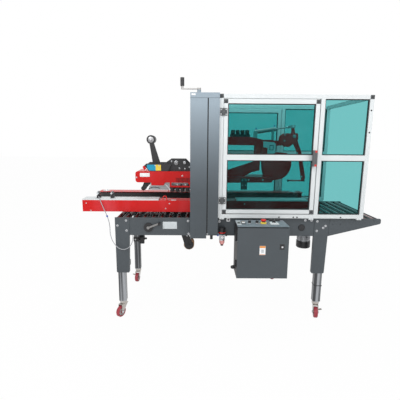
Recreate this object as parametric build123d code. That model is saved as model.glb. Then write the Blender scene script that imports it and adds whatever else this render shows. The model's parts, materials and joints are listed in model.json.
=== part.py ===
from build123d import *
import os
from math import cos, pi, radians, sin, tan

# Carton sealer with two side belts, an upper and a lower tape head, and a guard over its infeed half.
# Millimetres. X runs along the conveyor, from the exit end (-X) to the infeed end (+X).
# Y runs across it: the operator's near side is -Y. Z is up, with the floor at 0.
# Every piece is set out from the lifting gantry's centre line, and export puts the origin
# at the centre of the outline on the floor.

# Sheet and bar stock
sheet = 3.0
seat_gap = 0.3
running_gap = 0.05

# Conveyor bed
bed_top = 700.0
bed_depth = 120.0
bed_half_width = 312.0
bed_exit = -582.0
bed_infeed = 824.0
bed_flange = 30.0
cross_plate_drop = 40.0
table_end = 1166.0
table_tip_depth = 35.0
table_corner = 12.0
table_tip_setback = 20.0

# Rollers
roller_radius = 16.0
roller_rise = 2.0
roller_pitch = 56.5
exit_rollers_first = -561.0
exit_roller_count = 9
centre_rollers_first = -40.0
centre_roller_count = 7
belt_rollers_first = 350.0
belt_roller_count = 5
drive_bay = 199.0
table_roller_count = 7

# Legs and casters
sleeve_width = 96.0
sleeve_taper = 10.0
sleeve_return = 20.0
sleeve_corner = 9.0
sleeve_bottom = 319.0
far_leg_setback = 168.0
tube_size = 50.0
tube_wall = 3.0
tube_corner = 8.0
tube_foot = 12.0
tube_inset = 6.5
caster_height = 112.0
stem_radius = 6.0
wheel_radius = 37.5
wheel_width = 25.0
wheel_trail = 30.0
caster_turns = (-118.0, -97.0, -101.0, 90.0)
axle_radius = 5.0
fork_plate = 3.0
fork_clearance = 2.0

# Gantry columns and lift
column_width = 177.0
column_depth = 62.0
column_bottom = 602.0
column_top = 1449.0
column_slot = 96.0
column_slot_lift = 10.0
cover_seam = 7.0
cover_left_width = 104.0
cover_left_bottom = 578.0
cover_sheet = 3.0
crossbeam_height = 31.0
boss_radius = 12.0
boss_height = 18.0
screw_radius = 8.0
screw_x = -36.0
guide_radius = 10.0
lift_line = 31.0
rod_clearance = 0.3

# Guard of aluminium bars and clear panes
guard_length = 936.5
guard_bottom = 709.0
guard_top = 1476.0
guard_face = 351.0
bar = 25.0
lip = 4.0
lip_depth = 8.0
near_post_x = 704.5
far_post_x = 636.0
mid_rail_low = 1075.0
mid_rail_height = 42.0
pane = 4.0
door_gap = 5.0
guard_foot_inset = 10.0
guard_foot_width = 30.0
hinge_gap = 2.0
hinge_height = 44.0
hinge_pin_radius = 4.0
hinge_knuckle = 7.0
hinge_leaf = 22.0
hinge_low_inset = 62.0
hinge_high_inset = 98.0
grip_height = 98.0
grip_foot = 18.0
grip_reach = 34.0
joint_gap = 0.2

# Side belts
beam_exit = -816.0
beam_inner = 127.0
beam_outer = 233.0
beam_bottom = 721.0
beam_top = 799.0
beam_rim = 10.0
drum_radius = 40.0
belt_thickness = 4.0
belt_height = 64.0
drum_inset = 55.0
drive_drum_inset = 76.0
drive_setback = 66.0
drum_shaft_radius = 10.0
slide_rod_radius = 8.0
slide_rod_spread = 64.0
slide_drop = 66.0
post_plate = 10.0
carriage_half_height = 22.0
gearbox_half = 44.0
gearbox_height = 60.0
gearbox_corner = 10.0
motor_low = 459.0
case_radius = 43.0
cowl_radius = 48.0
cowl_height = 50.0
cowl_corner = 8.0
fin_count = 7
fin_pitch = 12.0
fin_depth = 3.0

# Upper head
head_exit = -482.0
head_infeed = 492.0
head_half_width = 90.0
head_bottom = 902.0
head_depth = 79.0
head_tail_depth = 43.0
head_rise = 5.0
head_sheet = 4.0
head_step = 80.0
head_ramp = 30.0
head_corner = 18.0
press_drop = 34.0
press_radius = 17.0
press_height = 33.0
press_pitch = 36.0
press_roller_count = 4
press_roller_y = 70.0
wipe_drop = 51.0
wipe_radius = 17.0
wipe_half = 30.0
arm_height = 60.0
arm_width = 80.0
nut_half_width = 58.0
nut_overhang = 30.0

# Control box
box_left = 198.0
box_width = 310.0
box_bottom = 372.0
box_height = 325.0
box_back = 350.0
box_depth = 172.0
box_door = 20.0
box_door_gap = 5.0
guard_foot_inset = 10.0
guard_foot_width = 30.0
box_hinge_radius = 5.0
box_pin_radius = 2.5
box_hinge_places = (440.0, 604.0)

# Cranks
shaft_radius = 7.0
top_crank_arm = 101.0
top_knob_radius = 12.0
side_crank_arm = 80.0
side_crank_angle = 22.0

# Tape reels
reel_offset = 108.0
reel_lift = 299.0
reel_disc_radius = 31.0
upper_core_radius = 30.0
lower_reel_offset = 64.0
lower_reel_drop = 272.0
lower_disc_radius = 33.0
lower_core_radius = 39.0
reel_axle = 8.0

# Flap folding gear in the guard
flap_beam_half = 28.0
flap_beam_rise = 323.0
shoe_sheet = 4.0
shoe_left = 434.0
shoe_rise = 303.0
neck_radius = 34.0
ear_plate = 6.0
ear_corner = 7.0
arm_plate = 12.0
pivot_offset = 208.0
pivot_rise = 329.0
pivot_radius = 8.0
lever_lean = -4.0
lever_length = 69.0
cylinder_slope = 8.6
cylinder_radius = 14.0
cylinder_rear = 274.0
cylinder_front = 125.0
bore_rear = 266.0
rod_rear = 200.0
rod_radius = 5.0
fork_back = 28.0
fork_gap = 2.5
fork_plate_air = 5.0
valve_count = 4
valve_pitch = 34.0

# Sensors and their lead
rail_height = 8.0
exit_rail_end = -304.0
infeed_rail_start = 222.0
sensor_places = (-718.0, -625.0)
cord_diameter = 5.0
cord_route = [
    (-717.0, -200.0, 819.0), (-703.0, -230.0, 820.0), (-690.0, -246.0, 794.0), (-674.0, -249.0, 753.0),
    (-654.0, -251.0, 709.0), (-636.0, -261.0, 665.0), (-626.0, -276.0, 624.0), (-622.0, -294.0, 584.0),
    (-606.0, -314.0, 545.0), (-579.0, -328.0, 511.0), (-550.0, -333.0, 490.0), (-520.0, -332.0, 486.0),
    (-494.0, -325.0, 497.0), (-478.0, -313.0, 517.0), (-472.0, -301.0, 542.0), (-470.0, -296.0, 562.0),
    (-470.0, -296.0, 580.0),
]

parts = {}


def block(x0, x1, y0, y1, z0, z1):
    """A rectangular block between two corners."""
    corner = Pos(min(x0, x1), min(y0, y1), min(z0, z1))
    size = Box(abs(x1 - x0), abs(y1 - y0), abs(z1 - z0), align=(Align.MIN, Align.MIN, Align.MIN))
    return corner * size


def rod(radius, start, end):
    """A round bar between two points."""
    start, end = Vector(*start), Vector(*end)
    run = end - start
    return Plane(origin=start, z_dir=run) * Cylinder(
        radius, run.length, align=(Align.CENTER, Align.CENTER, Align.MIN)
    )


def across(outline, y0, y1):
    """A face drawn in X and Z, thickened between two places across the machine."""
    plate = extrude(Plane.XZ * outline, abs(y1 - y0))
    return Pos(0, max(y0, y1) - plate.bounding_box().max.Y, 0) * plate


def plate_xz(points, y0, y1):
    """A plate with straight edges in X and Z, between two places across the machine."""
    return across(make_face(Polyline(*points, close=True)), y0, y1)


def mirrored(shape):
    """The far side's copy of a near side piece."""
    return mirror(shape, about=Plane.XZ)


def add(name, *shapes):
    """Keeps the solids of one named node."""
    solids = []
    for shape in shapes:
        solids.extend(shape.solids())
    parts[name] = Compound(children=solids) if len(solids) > 1 else solids[0]


def bed_sides():
    """Two folded side plates with a flange turned in at the bottom."""
    low = bed_low
    web = block(bed_exit, bed_infeed, -bed_half_width, sheet - bed_half_width, low, bed_top)
    flange = block(bed_exit, bed_infeed, -bed_half_width, bed_flange - bed_half_width, low, low + sheet)
    side = web + flange
    crank_hole = rod(
        shaft_radius + rod_clearance,
        (crank_x, -bed_half_width - sheet, slide_height),
        (crank_x, sheet * 2 - bed_half_width, slide_height),
    )
    return side - crank_hole, mirrored(side)


def bed_cross_plates():
    """Plates that tie the two bed sides together, and the rails beside the lower tape head."""
    inner = bed_half_width - sheet
    low, high = bed_low + sheet, bed_top - cross_plate_drop
    rail_start = centre_rollers_first - roller_pitch * 0.75
    places = (bed_exit, rail_start, rail_end, bed_infeed - sheet)
    plates = [block(x, x + sheet, -inner, inner, low, high) for x in places]
    holes = [
        rod(join_hole_radius, (bed_exit - 1, y, z), (bed_exit + sheet + 1, y, z))
        for y in (-join_spacing_y / 2, join_spacing_y / 2)
        for z in (join_z - join_spacing_z / 2, join_z + join_spacing_z / 2)
    ]
    plates[0] = plates[0] - holes
    rails = [
        block(rail_start + sheet, rail_end, side * head_slot, side * (head_slot + sheet), low, bed_top - 2.0)
        for side in (-1, 1)
    ]
    return plates + rails


def rollers():
    """Steel rollers between the side plates, in halves beside the lower tape head."""
    z = bed_top + roller_rise - roller_radius
    end = bed_half_width - sheet - seat_gap
    whole = [exit_rollers_first + roller_pitch * i for i in range(exit_roller_count)]
    whole += [belt_rollers_first + roller_pitch * i for i in range(belt_roller_count)]
    whole += [table_rollers_first + roller_pitch * i for i in range(table_roller_count)]
    halves = [centre_rollers_first + roller_pitch * i for i in range(centre_roller_count)]
    made = [rod(roller_radius, (x, -end, z), (x, end, z)) for x in whole]
    inner = head_slot + sheet + seat_gap
    for x in halves:
        made.append(rod(roller_radius, (x, -end, z), (x, -inner, z)))
        made.append(rod(roller_radius, (x, inner, z), (x, end, z)))
    return made


def infeed_table():
    """Tapered side plates of the infeed table and the plate across its tip."""
    tip_low = bed_top - table_tip_depth
    start = bed_infeed + joint_gap
    outline = make_face(
        Polyline((start, bed_low), (table_end, tip_low), (table_end, bed_top), (start, bed_top), close=True)
    )
    outline = fillet(outline.vertices().group_by(Axis.X)[-1], table_corner)
    plate = extrude(Plane.XZ * outline, sheet)
    near = Pos(0, sheet - bed_half_width - plate.bounding_box().max.Y, 0) * plate
    inner = bed_half_width - sheet
    tip_x = table_end - table_tip_setback
    tip = block(tip_x, tip_x + sheet, -inner, inner, tip_low + sheet, bed_top - sheet)
    return [near, mirrored(near), tip]


def leg(x0, tube_x):
    """One near leg: a folded sleeve on the bed side and a rounded square tube that slides in it."""
    x1 = x0 + sleeve_width
    outer, inner = -bed_half_width - sheet, -bed_half_width
    back = outer + sleeve_return
    x2 = x1 - sleeve_taper
    outline = make_face(
        Polyline((x0, bed_top), (x1, bed_top), (x2, sleeve_bottom), (x0, sleeve_bottom), close=True)
    )
    outline = fillet(outline.vertices().group_by(Axis.Y)[0], sleeve_corner)
    sleeve = across(outline, outer, back)
    pocket = [
        (x0 + sheet, bed_low), (x1 - sheet - sleeve_taper * bed_depth / (bed_top - sleeve_bottom), bed_low),
        (x2 - sheet, sleeve_bottom - 1), (x0 + sheet, sleeve_bottom - 1),
    ]
    sleeve -= plate_xz(pocket, inner, back + 1)
    sleeve -= block(x0 - 1, x1 + 1, inner, back + 1, bed_low, bed_top + 1)
    centre = (tube_x + tube_size / 2, inner + tube_size / 2)
    wall = RectangleRounded(tube_size, tube_size, tube_corner)
    hollow = RectangleRounded(tube_size - 2 * tube_wall, tube_size - 2 * tube_wall, tube_corner - tube_wall)
    tube = Pos(*centre, caster_height) * extrude(wall, bed_low - caster_height)
    foot_top = caster_height + tube_foot
    tube -= Pos(*centre, foot_top) * extrude(hollow, bed_low - caster_height)
    tube -= rod(stem_radius + running_gap, (*centre, caster_height - 1), (*centre, foot_top + 1))
    return sleeve, tube, centre


def caster(centre, turn):
    """A swivel fork and its wheel under one leg, with the wheel trailing at an angle from +X."""
    place = Pos(*centre, 0) * Rot(0, 0, turn)
    cheek_y = wheel_width / 2 + fork_clearance
    fork_half = cheek_y + fork_plate
    crown = caster_height - 8.0
    bridge_low = crown - 20.0
    fork = rod(24.0, (0, 0, crown - 12.0), (0, 0, caster_height - joint_gap))
    fork += rod(stem_radius, (0, 0, crown), (0, 0, caster_height + tube_foot))
    fork += rod(18.0, (0, 0, bridge_low + 2.0), (0, 0, crown - 10.0))
    fork += block(-28, wheel_trail + 2, -fork_half, fork_half, bridge_low, bridge_low + 4.0)
    outline = [
        (-26, bridge_low + 4.0), (wheel_trail + 2, bridge_low + 4.0),
        (wheel_trail + 11, wheel_radius), (wheel_trail + 6, wheel_radius - 10),
        (wheel_trail - 6, wheel_radius - 10), (wheel_trail - 11, wheel_radius),
    ]
    for side in (-1, 1):
        fork += plate_xz(outline, side * cheek_y, side * fork_half)
    reach = fork_half + 3.0
    fork += rod(axle_radius, (wheel_trail, -reach, wheel_radius), (wheel_trail, reach, wheel_radius))
    half, bore = wheel_width / 2, axle_radius + running_gap
    tread = make_face(
        Polyline(
            (bore, -half - 1), (14, -half - 1), (14, -half + 3), (27, -half + 3), (29, -half),
            (wheel_radius - 3, -half), (wheel_radius, -half + 4), (wheel_radius, half - 4),
            (wheel_radius - 3, half), (29, half), (27, half - 3), (14, half - 3), (14, half + 1),
            (bore, half + 1), close=True,
        )
    )
    wheel = Pos(wheel_trail, 0, wheel_radius) * revolve(tread, Axis.Y)
    return place * fork, place * wheel


def columns():
    """Near gantry column: an open channel, its two front covers and its foot."""
    half = column_width / 2
    y_in = -bed_half_width
    y_out = y_in - column_depth + cover_sheet
    shell = block(-half, half, y_out, y_in, column_bottom, column_top)
    floor = column_bottom + sheet * 2
    shell -= block(-half + sheet, half - sheet, y_out + sheet, y_in - sheet, floor, column_top + 1)
    slot_low = bed_top + column_slot_lift
    shell -= block(-column_slot / 2, column_slot / 2, y_in - sheet * 2, y_in + 1, slot_low, column_top + 1)
    seam = -half + cover_left_width
    left = block(-half, seam, y_out - cover_sheet, y_out, cover_left_bottom, column_top)
    right = block(seam + cover_seam, half, y_out - cover_sheet, y_out, column_bottom, column_top)
    return shell + left + right


def top_crossbeam():
    """Inverted tray that ties the column tops and holds the lift crank's boss."""
    half = column_width / 2
    end = bed_half_width + column_depth
    top = column_top + crossbeam_height
    tray = block(-half, half, -end, end, column_top, top)
    tray -= block(-half + sheet, half - sheet, -end + sheet, end - sheet, column_top - 1, top - sheet)
    y = -bed_half_width - lift_line
    boss = rod(boss_radius, (screw_x, y, top), (screw_x, y, top + boss_height))
    hole = rod(stem_radius + running_gap, (screw_x, y, column_top), (screw_x, y, top + boss_height + 1))
    return tray + boss - hole


def lift_rods():
    """Lift screws and round guides standing in both columns."""
    made = []
    for side in (-1, 1):
        y = side * (bed_half_width + lift_line)
        low = column_bottom + sheet * 2
        made.append(rod(screw_radius, (screw_x, y, low), (screw_x, y, column_top)))
        made.append(rod(guide_radius, (-screw_x, y, low), (-screw_x, y, column_top)))
    return made


def frame_ring(x0, x1, z0, z1, y0, y1, rail):
    """A closed rectangular frame of guard bars with a pane lip inside and a middle rail."""
    middle = (y0 + y1) / 2
    ring = block(x0, x1, y0, y1, z0, z1) - block(x0 + bar, x1 - bar, y0 - 1, y1 + 1, z0 + bar, z1 - bar)
    rim = block(x0 + bar, x1 - bar, middle - lip_depth / 2, middle + lip_depth / 2, z0 + bar, z1 - bar)
    inset = bar + lip
    windows = [
        (x0 + inset, x1 - inset, z0 + inset, rail[0]),
        (x0 + inset, x1 - inset, rail[1], z1 - inset),
    ]
    rim += block(x0 + bar, x1 - bar, y0, y1, rail[0] + lip, rail[1] - lip)
    for wx0, wx1, wz0, wz1 in windows:
        rim -= block(wx0, wx1, y0 - 1, y1 + 1, wz0, wz1)
    gap, front, back = joint_gap, middle - pane / 2, middle + pane / 2
    panes = [
        block(wx0 + gap, wx1 - gap, front, back, wz0 + gap, wz1 - gap) for wx0, wx1, wz0, wz1 in windows
    ]
    return ring + rim, panes


def guard_hinge(axis_x, axis_y, face, low):
    """The post's leaf with its pin and lower knuckle, and the door's leaf with the upper knuckle."""
    high = low + hinge_height
    split = low + hinge_height / 3
    reach = hinge_knuckle + 1.5
    leaf = block(axis_x - hinge_leaf, axis_x - reach, face - sheet, face, low, high)
    leaf += block(axis_x - reach, axis_x, axis_y - 2.0, face, low, split)
    leaf += rod(hinge_knuckle, (axis_x, axis_y, low), (axis_x, axis_y, split))
    leaf += rod(hinge_pin_radius, (axis_x, axis_y, low), (axis_x, axis_y, high))
    ring = block(axis_x + reach, axis_x + hinge_leaf, face - sheet, face, low, high)
    ring += block(axis_x, axis_x + reach, axis_y - 2.0, face, split + 0.5, high)
    ring += rod(hinge_knuckle, (axis_x, axis_y, split + 0.5), (axis_x, axis_y, high))
    ring -= rod(hinge_pin_radius + running_gap, (axis_x, axis_y, low), (axis_x, axis_y, high + 1))
    return leaf, ring


def guard_side(post_x, side):
    """One side of the guard: the fixed frame, its fixed panes, the door frame and its panes."""
    y0, y1 = -guard_face, -guard_face + bar
    x0 = column_width / 2
    x1 = x0 + guard_length
    rail = (mid_rail_low, mid_rail_low + mid_rail_height)
    window, window_panes = frame_ring(post_x, x1, guard_bottom, guard_top, y0, y1, rail)
    post = block(x0, x0 + bar, y0, y1, guard_bottom, guard_top)
    top = block(x0, post_x + 1, y0, y1, guard_top - bar, guard_top)
    bottom = block(x0, post_x + 1, y0, y1, guard_bottom, guard_bottom + bar)
    fixed = window + post + top + bottom
    last_foot = x1 - guard_foot_inset - guard_foot_width
    for foot_x in (x0 + guard_foot_inset, post_x - guard_foot_width, last_foot):
        fixed += block(foot_x, foot_x + guard_foot_width, y0, sheet - bed_half_width, bed_top, guard_bottom)
    door_x0 = x0 + bar + hinge_gap
    door_x1 = post_x - door_gap
    door_z0 = guard_bottom + bar + door_gap
    door_z1 = guard_top - bar - door_gap
    door, door_panes = frame_ring(door_x0, door_x1, door_z0, door_z1, y0, y1, rail)
    axis_x = x0 + bar + hinge_gap / 2
    axis_y = y0 - hinge_knuckle - 1.0
    for hinge_z in (door_z0 + hinge_low_inset, door_z1 - hinge_high_inset):
        leaf, ring = guard_hinge(axis_x, axis_y, y0, hinge_z)
        fixed += leaf
        door += ring
    grip_z = mid_rail_low + (mid_rail_height - grip_height) / 2 - 2.0
    grip_x0, grip_x1 = door_x1 - 36.0, door_x1 - 10.0
    for z in (grip_z, grip_z + grip_height - grip_foot):
        door += block(grip_x0, grip_x1, y0 - grip_reach, y0, z, z + grip_foot)
    door += block(grip_x0, grip_x1, y0 - grip_reach, y0 - grip_reach + 12.0, grip_z, grip_z + grip_height)
    made = [[fixed], window_panes, [door], door_panes]
    if side > 0:
        made = [[mirrored(shape) for shape in group] for group in made]
    return made


def guard_ties():
    """Rails across the open infeed end and the gantry end of the guard."""
    x1 = column_width / 2 + guard_length
    end = guard_face - bar
    return [
        block(x1 - bar, x1, -end, end, guard_top - bar, guard_top),
        block(column_width / 2, column_width / 2 + bar, -end, end, guard_top - bar, guard_top),
    ]


def belt_side():
    """Near side belt: folded housing, belt loop, drums on shafts, and the two slide carriages."""
    rim_in = -beam_inner - beam_rim
    floor, roof = beam_bottom + sheet, beam_top - sheet
    housing = block(beam_exit, beam_infeed, -beam_outer, rim_in, beam_bottom, beam_top)
    housing -= block(beam_exit - 1, beam_infeed + 1, -beam_outer + sheet, rim_in + 1, floor, roof)
    for x in (beam_exit, beam_infeed - sheet):
        housing += block(x, x + sheet, -beam_outer + sheet, rim_in - 30.0, floor, roof)
    drum_y = -beam_inner - belt_thickness - drum_radius
    x_idle = beam_exit + drum_inset
    belt_low = (beam_bottom + beam_top - belt_height) / 2
    span = x_drive - x_idle
    loop = SlotCenterToCenter(span, (drum_radius + belt_thickness) * 2)
    hollow = SlotCenterToCenter(span, (drum_radius + joint_gap) * 2)
    belt = Pos((x_idle + x_drive) / 2, drum_y, belt_low) * extrude(loop - hollow, belt_height)
    works = []
    for x in (x_idle, x_drive):
        drum = rod(drum_radius, (x, drum_y, belt_low), (x, drum_y, belt_low + belt_height))
        works.append(drum + rod(drum_shaft_radius, (x, drum_y, floor), (x, drum_y, roof)))
    start, stop = x_idle + drum_radius + 5.0, x_drive - drum_radius - 5.0
    face = drum_y + drum_radius - joint_gap
    backing = block(start, stop, face - sheet, face, belt_low, belt_low + belt_height)
    backing += block(start, stop, -beam_outer + sheet, face, floor, floor + sheet)
    works.append(backing)
    gearbox_low = beam_bottom - gearbox_height
    motor = block(
        x_drive - gearbox_half, x_drive + gearbox_half, drum_y - 40.0, drum_y + 40.0, gearbox_low, beam_bottom
    )
    motor = fillet(motor.edges().filter_by(Axis.Z), gearbox_corner)
    cowl_top = motor_low + cowl_height
    motor += rod(case_radius, (x_drive, drum_y, cowl_top), (x_drive, drum_y, gearbox_low))
    cowl = rod(cowl_radius, (x_drive, drum_y, motor_low), (x_drive, drum_y, cowl_top))
    motor += fillet(cowl.edges().filter_by(GeomType.CIRCLE).group_by(Axis.Z)[0], cowl_corner)
    for i in range(fin_count):
        fin_low = cowl_top + fin_pitch * (i + 1)
        fin_high = fin_low + fin_pitch / 3
        motor += rod(case_radius + fin_depth, (x_drive, drum_y, fin_low), (x_drive, drum_y, fin_high))
    carriages = []
    half = slide_rod_spread / 2 + 18.0
    low, high = slide_height - carriage_half_height, slide_height + carriage_half_height
    for x in (crank_x, infeed_slide_x):
        carriage = block(x - half, x + half, drum_y - 30.0, drum_y + 30.0, low, high)
        post = post_plate / 2
        carriage += block(x - post, x + post, drum_y - 25.0, drum_y + 25.0, high, beam_bottom)
        bores = [(dx, slide_rod_radius) for dx in (-slide_rod_spread / 2, slide_rod_spread / 2)]
        for dx, radius in bores + [(0.0, shaft_radius)]:
            start, end = (x + dx, drum_y - 31, slide_height), (x + dx, drum_y + 31, slide_height)
            carriage -= rod(radius + rod_clearance, start, end)
        carriages.append(carriage)
    return [housing], [belt], works + carriages, [motor]


def slide_rods():
    """Round guides and width screws that the belt carriages ride on."""
    end = bed_half_width - sheet
    made = []
    for x in (crank_x, infeed_slide_x):
        for dx in (-slide_rod_spread / 2, slide_rod_spread / 2):
            made.append(rod(slide_rod_radius, (x + dx, -end, slide_height), (x + dx, end, slide_height)))
    screw_start = -end + 24.0
    made.append(rod(shaft_radius, (crank_x, screw_start, slide_height), (crank_x, end, slide_height)))
    made.append(rod(shaft_radius, (infeed_slide_x, -end, slide_height), (infeed_slide_x, end, slide_height)))
    return made


def on_head(*points):
    """Outline points given from the head's lower exit corner."""
    return [(head_exit + x, head_bottom + z) for x, z in points]


def head():
    """Upper head: the long folded housing and the arms that carry it in the columns."""
    head_low = head_bottom + head_rise
    outline = make_face(
        Polyline(
            (head_exit, head_bottom), (head_step, head_bottom), (head_infeed, head_low),
            (head_infeed, head_tail_top), (head_step, head_tail_top), (head_step - head_ramp, head_top),
            (head_exit, head_top), close=True,
        )
    )
    ends = outline.vertices().group_by(Axis.X)
    outline = fillet(ends[0], head_corner)
    tail_corner = min(head_corner, (head_tail_top - head_low) * 0.45)
    outline = fillet(outline.vertices().group_by(Axis.X)[-1], tail_corner)
    body = extrude(Plane.XZ * outline, head_half_width, both=True)
    inside = head_half_width - head_sheet
    split = head_step - head_ramp - 10.0
    body -= block(head_exit + head_corner, split, -inside, inside, head_bottom - 1, head_top - head_sheet)
    body -= block(
        split - 1, head_infeed - head_corner, -inside, inside, head_bottom - 1, head_tail_top - head_sheet
    )
    shoe_gap = flap_beam_half + shoe_sheet + 3.0
    body -= block(shoe_left - 4.0, head_infeed + 1, -shoe_gap, shoe_gap, head_bottom, head_tail_top + 1)
    for side in (-1, 1):
        y0, y1 = side * head_half_width, side * (head_half_width - head_sheet)
        body += plate_xz(on_head((106, 8), (114, -21), (199, -21), (211, 8)), y0, y1)
        tray_low = press_top + seat_gap
        tray = on_head((386, 8), (374, 8), (374, -22), (254, -22), (254, 8), (242, 8))
        body += plate_xz([(head_exit + 242, tray_low), (head_exit + 386, tray_low), *tray], y0, y1)
        body += block(head_exit + 242, head_exit + 386, y0, side * 48.0, tray_low, tray_low + sheet)
        ramp = [
            (head_step + 24, head_tail_top - 6), (head_step + 62, head_tail_top + 26),
            (shoe_left - 66, head_tail_top + 102), (shoe_left - 30, head_tail_top + 102),
            (shoe_left - 30, head_tail_top + 44), (shoe_left - 90, head_tail_top + 28),
            (shoe_left - 150, head_tail_top - 6),
        ]
        ramp_y = flap_beam_half + ear_plate + seat_gap
        body += plate_xz(ramp, side * ramp_y, side * (ramp_y + head_sheet))
    y_nut = bed_half_width + lift_line
    arm_top = head_top + arm_height
    arms = block(-arm_width / 2, arm_width / 2, -y_nut + 20.0, y_nut - 20.0, head_top, arm_top)
    hollow = arm_width / 2 - sheet
    arms -= block(-hollow, hollow, -y_nut, y_nut, head_top + sheet, arm_top - sheet)
    low, high = head_top - nut_overhang, arm_top + nut_overhang
    for side in (-1, 1):
        y = side * y_nut
        nut = block(-nut_half_width, nut_half_width, y - 22.0, y + 22.0, low, high)
        nut -= rod(screw_radius + rod_clearance, (screw_x, y, low - 1), (screw_x, y, high + 1))
        nut -= rod(guide_radius + rod_clearance, (-screw_x, y, low - 1), (-screw_x, y, high + 1))
        arms += nut
    arms += block(-arm_width / 2, arm_width / 2, -40.0, 40.0, arm_top, flap_beam_top)
    return [body], [arms]


def tape_head():
    """Upper tape head: its side plates, tape rollers and the cheeks of the wiping roller."""
    guide_plate = on_head(
        (80, -60), (97, -28), (106, 66), (372, 66), (372, -33), (237, -40), (237, -60),
    )
    top_plate = on_head(
        (191, 79), (196, 128), (245, 162), (353, 162), (385, 129), (390, 79),
    )
    cheek = [
        (wipe_x - 11.0, wipe_z - 5.0), (wipe_x - 9.0, wipe_z + 8.0), *on_head((54, 2), (104, 2), (84, -30)),
        (wipe_x + 8.0, wipe_z - 10.0),
    ]
    made = None
    for side in (-1, 1):
        plates = plate_xz(guide_plate, side * 40.0, side * 36.0)
        plates += plate_xz(top_plate, side * 62.0, side * 54.0)
        plates += plate_xz(cheek, side * (wipe_half + seat_gap), side * 36.0)
        made = plates if made is None else made + plates
    for x, z in on_head((288, 140), (348, 140)):
        made += rod(13.0, (x, -70.0, z), (x, 70.0, z))
    inside = head_half_width - head_sheet
    for x, z in on_head((182, 28), (332, 28)):
        made += rod(8.0, (x, -inside, z), (x, inside, z))
    return made


def press_rollers():
    """Black rubber rollers below the head: the wiping roller and the upright ones beside the tape."""
    made = [rod(wipe_radius, (wipe_x, -wipe_half, wipe_z), (wipe_x, wipe_half, wipe_z))]
    for i in range(press_roller_count):
        x = press_first_x + press_pitch * i
        for y in (-press_roller_y, press_roller_y):
            made.append(rod(press_radius, (x, y, press_top - press_height), (x, y, press_top)))
    return made


def sealer_casters(legs):
    """Forks and wheels, each at the angle it is left at."""
    names = ("exit_near", "exit_far", "infeed_near", "infeed_far")
    for name, centre, turn in zip(names, legs, caster_turns):
        fork, wheel = caster(centre, turn)
        add("caster_fork_" + name, fork)
        add("caster_wheel_" + name, wheel)


def control_box():
    """Box body with its back brackets, and the front door hinged at its left edge."""
    x0, x1 = box_left, box_left + box_width
    z0, z1 = box_bottom, box_bottom + box_height
    y_front, y_back = -box_back - box_depth, -box_back
    door_back = y_front + box_door
    body = block(x0, x1, door_back + 1.0, y_back, z0, z1)
    body -= block(x0 + sheet, x1 - sheet, door_back, y_back - sheet, z0 + sheet, z1 - sheet)
    roof = block(x0, x1, y_front, door_back + 1.0, z1 - sheet, z1)
    body += roof
    for x in (x0 + 30.0, x1 - 60.0):
        body += block(x, x + 30.0, y_back, -bed_half_width, z1 - 70.0, z1 - 40.0)
    lid = block(x0, x1, y_front, door_back, z0, z1 - sheet - box_door_gap)
    lid_top = z1 - sheet * 2 - box_door_gap
    lid -= block(x0 + sheet, x1 - sheet, y_front + sheet, door_back + 1, z0 + sheet, lid_top)
    axis_x, axis_y = x0 - box_hinge_radius - 1.0, door_back + 0.5
    for low in box_hinge_places:
        split, high = low + 14.0, low + 42.0
        body += block(x0 - sheet, x0, axis_y, axis_y + 16.0, low, split)
        body += rod(box_hinge_radius, (axis_x, axis_y, low), (axis_x, axis_y, split))
        body += rod(box_pin_radius, (axis_x, axis_y, low), (axis_x, axis_y, high))
        lid += block(x0 - sheet, x0, axis_y - 16.0, axis_y, split + 0.5, high)
        lid += rod(box_hinge_radius, (axis_x, axis_y, split + 0.5), (axis_x, axis_y, high))
        lid -= rod(box_pin_radius + running_gap, (axis_x, axis_y, split), (axis_x, axis_y, high + 1))
    return body, lid


def top_crank():
    """Lift crank: pin in the crossbeam's boss, arm and upright knob."""
    y = -bed_half_width - lift_line
    seat = column_top + crossbeam_height + boss_height
    knob_x = screw_x - top_crank_arm
    made = rod(stem_radius, (screw_x, y, seat - 36.0), (screw_x, y, seat + 8.0))
    made += rod(11.0, (screw_x, y, seat + seat_gap), (screw_x, y, seat + 11.0))
    made += block(knob_x, screw_x, y - 7.0, y + 7.0, seat + 2.0, seat + 9.0)
    made += rod(7.0, (knob_x, y, seat + 2.0), (knob_x, y, seat + 22.0))
    made += rod(top_knob_radius, (knob_x, y, seat + 22.0), (knob_x, y, seat + 70.0))
    return made


def side_crank():
    """Width crank: journal through the bed side, black disc, slanted arm and knob."""
    y = -bed_half_width
    z = slide_height
    tip_x = crank_x + side_crank_arm * cos(radians(side_crank_angle))
    tip_z = z + side_crank_arm * sin(radians(side_crank_angle))
    made = rod(shaft_radius, (crank_x, y - 16.0, z), (crank_x, y + 26.0, z))
    made += rod(30.0, (crank_x, y - 9.0, z), (crank_x, y - seat_gap, z))
    made += rod(10.0, (crank_x, y - 18.0, z), (crank_x, y - 8.0, z))
    arm = Box(side_crank_arm + 12.0, 6.0, 11.0)
    middle = Pos((crank_x + tip_x) / 2, y - 13.0, (z + tip_z) / 2) * Rot(0, -side_crank_angle, 0)
    made += middle * arm
    made += rod(8.0, (tip_x, y - 44.0, tip_z), (tip_x, y - 12.0, tip_z))
    return made


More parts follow.
